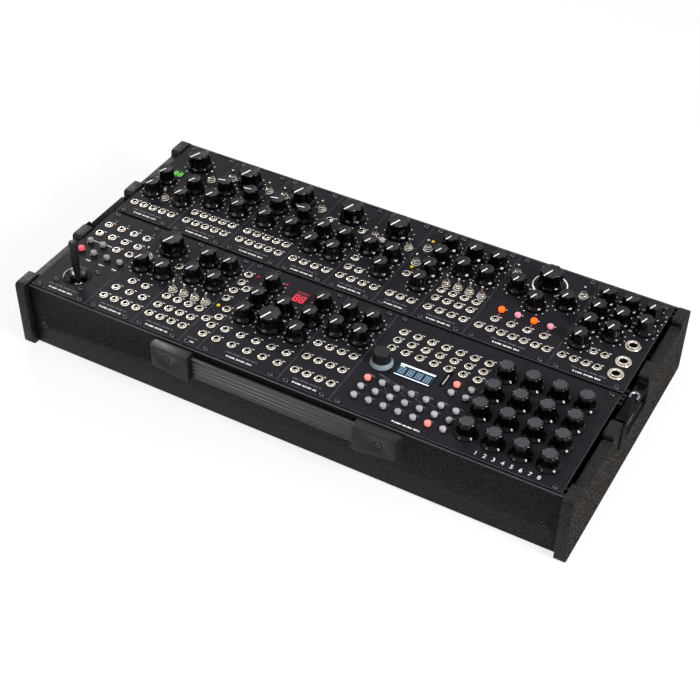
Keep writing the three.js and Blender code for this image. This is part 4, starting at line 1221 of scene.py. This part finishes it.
class SYNTH_OT_displays(bpy.types.Operator):
    """Models the sequencer's screen and card slot, and the two-digit displays"""
    bl_idname = "synth.displays"
    bl_label = "Displays"

    def execute(self, context):
        for module in MODULES:
            if "screen" in module:
                self.screen(*self.window(module, *module["screen"]))
                self.slot(spots(module, "slot")[0])
            if "digits" in module:
                *shares, tone = module["digits"]
                made = self.digits(*self.window(module, *shares), tone)
                settle(joined(module["name"] + "_digits", made))
        return {"FINISHED"}

    def window(self, module, middle_share, size_share):
        """The middle of a window in a panel, and its width and depth in millimetres."""
        width = size_share[0] * (module["width"] * HP - PANEL_GAP)
        return spot(module, middle_share), width, size_share[1] * PANEL_HEIGHT

    def screen(self, middle, width, depth):
        """The sequencer's screen: bright rows at its back and front, and four groups of dim cells."""
        rim = about(middle - Vector((2.2 * MM, 0, 0)), width + 5, depth + 1.6, 0.02, 0.4)
        bezel = coat(block("bezel", *rim, 0.15 * MM), "knob_gloss")
        face = about(middle, width, depth, 0.3, DISPLAY_TOP)
        glass = coat(block("glass", *face, 0.2 * MM), "screen_glass")
        rows = ((0, depth * 0.405, width * 0.95, 1.9), (0, -depth * 0.45, width * 0.95, 1.0),
                (-width * 0.4, depth * 0.26, 4.6, 0.9))
        made = bars(middle, "bar", rows, DISPLAY_TOP, "screen_bar")
        cells = []
        for group in range(4):
            for column in range(3):
                x = (group - 1.5) * width * 0.232 + (column - 1) * 2.1
                cells += [(x, 2.7 - 1.75 * row, 1.2, 0.8) for row in range(5)]
        made += bars(middle, "bar", cells, DISPLAY_TOP, "screen_mark")
        settle(joined("sequencer_screen", [bezel, glass] + made))

    def slot(self, middle):
        """The card slot with its lip, and the card in it."""
        parts = []
        # The mouth is a near-black sheet on the panel, painted shade for the slot's opening.
        for name, x, y, width, depth, low, high, edge, tone in (
                ("mouth", 0, 0, 5, 21, 0.01, 0.1, 0, "dark_hole"),
                ("lip", -2.2, 0, 0.5, 20, 0.02, 0.5, 0.1, "case_plastic"),
                ("card", 0.4, -1.5, 1.0, 13, 0.05, 1.4, 0.2, "button_cap")):
            corners = about(middle + Vector((x, y, 0)) * MM, width, depth, low, high)
            parts.append(coat(block(name, *corners, edge * MM), tone))
        settle(joined("sequencer_card_slot", parts))

    def digits(self, middle, width, depth, tone):
        """A window with two lit figures of seven strokes each, and a dim row behind the red ones."""
        face = about(middle, width, depth, 0.02, DISPLAY_TOP)
        window = coat(block("window", *face, 0.3 * MM), tone + "_window")
        tall, wide, thick = depth * 0.25, width * 0.27, 1.2
        low = -0.15 * depth
        marks = []
        for side in (-1, 1):
            x = side * width * 0.23
            marks += [(x, low + step * tall, wide, thick) for step in (-1, 0, 1)]
            marks += [(x + near * wide / 2, low + up * tall / 2, thick, tall * 0.8)
                      for near, up in grid((-1, 1), (-1, 1))]
        made = bars(middle, "bar", marks, DISPLAY_TOP, "lit_" + tone)
        if tone == "red":
            made += bars(middle, "bar", [(0, depth * 0.38, width * 0.72, 1.3)], DISPLAY_TOP, "dim_red")
        return [window] + made


class SYNTH_OT_print(bpy.types.Operator):
    """Prints the dots round the knobs, and the bars beside the controls"""
    bl_idname = "synth.print"
    bl_label = "Print"

    def execute(self, context):
        for module in MODULES:
            name = module["name"]
            marks = []
            for kind, radius in (("knob", 12.0), ("big_knob", 15.1)):
                for middle in spots(module, kind):
                    ringed = name == "logic" and kind == "big_knob"
                    marks += self.ring(middle) if ringed else self.scale(middle, radius)
            for middle in spots(module, "jack"):
                marks += bars(middle, "bar", [(3.6, 4.7, 2.2, 0.7)])
                marks += bars(middle, "faint_bar", [(-0.4, 5.4, 3.4, 0.6)])
            strokes = [(-6.2, 2.6, 3.2, 0.6), (6.2, 2.6, 3.2, 0.6), (0, -5.6, 4.2, 0.7)]
            for middle in spots(module, "toggle"):
                marks += bars(middle, "faint_bar", strokes)
            marks += self.button_marks(module)
            marks += self.title(module)
            if name == "sequencer":
                marks += self.fan(module) + self.numerals(module)
            settle(joined(name + "_print", marks))
        return {"FINISHED"}

    def scale(self, middle, radius):
        """Eleven dots round a knob, open at the front."""
        turns = [math.radians(150 - 30 * step) for step in range(11)]
        return copies("dot", [middle + along(turn, radius) for turn in turns])

    def ring(self, middle):
        """A heavy ring round the logic module's large knob, with a foot at either end."""
        radius, reach = 16, math.radians(143)
        made = [arc(middle, radius, 1.2, reach)]
        for side in (-1, 1):
            made += bars(middle + along(reach * side, radius), "bar", [(side * 0.9, -0.3, 2.6, 1.0)])
        return made

    def button_marks(self, module):
        """Strokes beside the buttons of the joystick, sequencer and logic modules."""
        name = module["name"]
        made = []
        for index, middle in enumerate(spots(module, "button")):
            if name == "joystick":
                upper = index < 2
                made += bars(middle, "bar", [(4.6, 3.6, 6.5, 0.6) if upper else (0, -9.2, 5.2, 0.9)])
                made += bars(middle, "faint_bar", [] if upper else [(0, -11, 3.6, 0.7)])
            if name == "sequencer":
                titled = 3 < index < 11
                wide = 5.6 if titled else 2.6
                made += bars(middle, "faint_bar", [(2.2, 4.9, wide, 0.7)])
                made += bars(middle, "faint_bar", [(1.6, 6.1, wide * 0.7, 0.7)] if titled else [])
            if name == "logic":
                made += bars(middle, "bar", [(3.4, 3.2, 1.6, 0.7)])
                made += line(middle - Vector((0, 3.4, 0)) * MM, middle - Vector((0, 8.5, 0)) * MM, 0.9)
        return made

    def title(self, module):
        """A dim row and a brighter row of small strokes where a panel's title stands."""
        alone = module["name"] == "sequencer"
        middle = spot(module, (0.335 if alone else 0.5, 0))
        wide = module["width"] * HP
        dim_end, end = min(wide * 0.55, 32) / 2, min(wide * 0.46, 25) / 2
        made = [] if alone else self.row(middle, "faint_bar", y=9.6, x=-dim_end, end=dim_end, size=1.1)
        made += copies("dot", [middle + Vector((-end, 5.1, 0)) * MM], scaled(1.5, 1.5))
        return made + self.row(middle, "bar", y=4.9, x=-end + 2.4, end=end, size=1.18)

    def row(self, middle, shape, y, x, end, size):
        """A row of uneven strokes from x to an end, with a wider gap between some of them."""
        strokes = ((0.6, 1.5), (0.9, 0.6), (0.5, 1.6), (1.0, 1.1), (0.6, 1.5), (0.9, 0.7), None,
                   (0.6, 1.6), (1.0, 0.9))
        gap, between = 1.2, 0.55
        made = []
        for stroke in itertools.cycle(strokes):
            if x >= end:
                return made
            if stroke:
                width, depth = stroke
                made += bars(middle, shape, [(x, y, width * size, depth * size)])
                x += (width / 2 + between) * size
            else:
                x += gap

    def fan(self, module):
        """Thin lines that fan out from below the encoder to the buttons."""
        start = spots(module, "encoder")[0] + Vector((3, -11.5, 0)) * MM
        made = []
        for x, y in ((14, -14.3), (33, -14.85), (50, -15.4), (66, -14.85), (22, -23.1)):
            made += line(start, start + Vector((x, y, 0)) * MM)
        return made

    def numerals(self, module):
        """The numbers of the steps, beside the sequencer's knobs."""
        made = []
        for index in range(8):
            clear()
            bpy.ops.object.text_add()
            text = bpy.context.object
            text.data.body = str(index + 1)
            text.data.size = 6.2 * MM
            text.data.align_x = "CENTER"
            text.data.extrude = 0.02 * MM
            bpy.ops.object.convert(target="MESH")
            number = bpy.context.object
            place = spot(module, (0.632 + 0.0375 * index, 0.031), 0.03)
            made.append(coat(moved(number, Matrix.Translation(place)), "print"))
        return made


class SYNTH_OT_stage(bpy.types.Operator):
    """Sets the floor, the lights and the camera"""
    bl_idname = "synth.stage"
    bl_label = "Stage"

    def execute(self, context):
        look = context.scene.synth_stage
        clear()
        bpy.ops.mesh.primitive_plane_add(size=14, location=(0, 0, 0))
        floor = context.object
        floor.name = "floor"
        made, shader = start_material("floor_paper", look.floor, 0.9, specular=0.1)
        glow = node(made, "ShaderNodeEmission", Color=WHITE, Strength=1.0)
        share = node(made, "ShaderNodeMapRange", Value=self.background_rays(made), To_Min=0.0, To_Max=0.8)
        blend = node(made, "ShaderNodeMixShader", Fac=share.outputs["Result"])
        link(made, shader.outputs["BSDF"], blend.inputs[1])
        link(made, glow.outputs["Emission"], blend.inputs[2])
        link(made, blend.outputs["Shader"], made.node_tree.nodes["Material Output"].inputs["Surface"])
        floor.data.materials.append(made)
        self.world(context, look)
        self.lamps(context, look)
        self.camera(context, look)
        context.scene.view_settings.view_transform = "Standard"
        return {"FINISHED"}

    def world(self, context, look):
        """Even light all round, before a white background."""
        world = bpy.data.worlds.new("studio")
        context.scene.world = world
        world.use_nodes = True
        background = world.node_tree.nodes["Background"]
        background.inputs["Color"].default_value = WHITE
        seen = self.background_rays(world)
        strength = node(world, "ShaderNodeMapRange", Value=seen, To_Min=look.sky, To_Max=1.0)
        link(world, strength.outputs["Result"], background.inputs["Strength"])

    def lamps(self, context, look):
        """Square lamps, each with its power in watts, its size, its place and where it points, in metres."""
        for name, power, size, place, aim in (
                ("overhead", look.key, 1.4, (-0.25, 0.45, 1.85), (0, 0, 0)),
                ("side", look.side, 0.4, (1.43, -0.32, 0.99), (0.1, 0, 0.05)),
                ("strip", look.side * 0.2, 0.5, (-0.7, -1.3, 0.8), (0, 0, 0.05)),
                ("rear", look.side * 0.25, 0.3, (-1.2, 0.8, 0.9), (0, 0, 0.05))):
            lamp = bpy.data.lights.new(name, "AREA")
            lamp.energy = power
            lamp.shape = "SQUARE"
            lamp.size = size
            light = bpy.data.objects.new(name, lamp)
            context.collection.objects.link(light)
            light.location = place
            light.rotation_euler = (Vector(aim) - Vector(place)).to_track_quat("-Z", "Y").to_euler()

    def camera(self, context, look):
        """The camera, in front of the case on its right, looking down at it."""
        view = bpy.data.cameras.new("camera")
        view.lens = look.lens
        view.sensor_width = 36
        camera = bpy.data.objects.new("camera", view)
        context.collection.objects.link(camera)
        camera.location = (0.48725, -0.886, 0.90426)
        camera.rotation_euler = (math.radians(48.394), math.radians(-0.528), math.radians(29.224))
        context.scene.camera = camera

    def background_rays(self, holder):
        """One where a ray that shows the background meets it, so that gloss and glass show it too."""
        rays = node(holder, "ShaderNodeLightPath").outputs
        seen = rays["Is Camera Ray"]
        for kind in ("Is Glossy Ray", "Is Transmission Ray"):
            either = node(holder, "ShaderNodeMath", {"operation": "MAXIMUM"})
            link(holder, seen, either.inputs[0])
            link(holder, rays[kind], either.inputs[1])
            seen = either.outputs["Value"]
        return seen


STEPS = (
    SYNTH_OT_stage, SYNTH_OT_shapes, SYNTH_OT_walls, SYNTH_OT_cheeks, SYNTH_OT_strap, SYNTH_OT_power,
    SYNTH_OT_panels, SYNTH_OT_fittings, SYNTH_OT_knobs, SYNTH_OT_buttons, SYNTH_OT_joystick,
    SYNTH_OT_displays, SYNTH_OT_print,
)


class SYNTH_PT_steps(bpy.types.Panel):
    """Lists the steps that build the synthesizer"""
    bl_idname = "SYNTH_PT_steps"
    bl_label = "Synthesizer"
    bl_space_type = "VIEW_3D"
    bl_region_type = "UI"
    bl_category = "Synthesizer"

    def draw(self, context):
        for step in STEPS:
            self.layout.operator(step.bl_idname)
        for group in GROUPS:
            look = getattr(context.scene, group)
            box = self.layout.box()
            for key in look.__annotations__:
                box.prop(look, key)


GROUPS = {
    "synth_case": CaseLook, "synth_panel": PanelLook, "synth_control": ControlLook, "synth_stage": StageLook,
}
CLASSES = tuple(GROUPS.values()) + STEPS + (SYNTH_PT_steps,)


def register():
    for made in CLASSES:
        bpy.utils.register_class(made)
    for key, group in GROUPS.items():
        setattr(bpy.types.Scene, key, bpy.props.PointerProperty(type=group))


def unregister():
    for key in GROUPS:
        delattr(bpy.types.Scene, key)
    for made in reversed(CLASSES):
        bpy.utils.unregister_class(made)


def main():
    register()
    for step in STEPS:
        group, name = step.bl_idname.split(".")
        getattr(getattr(bpy.ops, group), name)()
    clear()


if __name__ == "__main__":
    main()
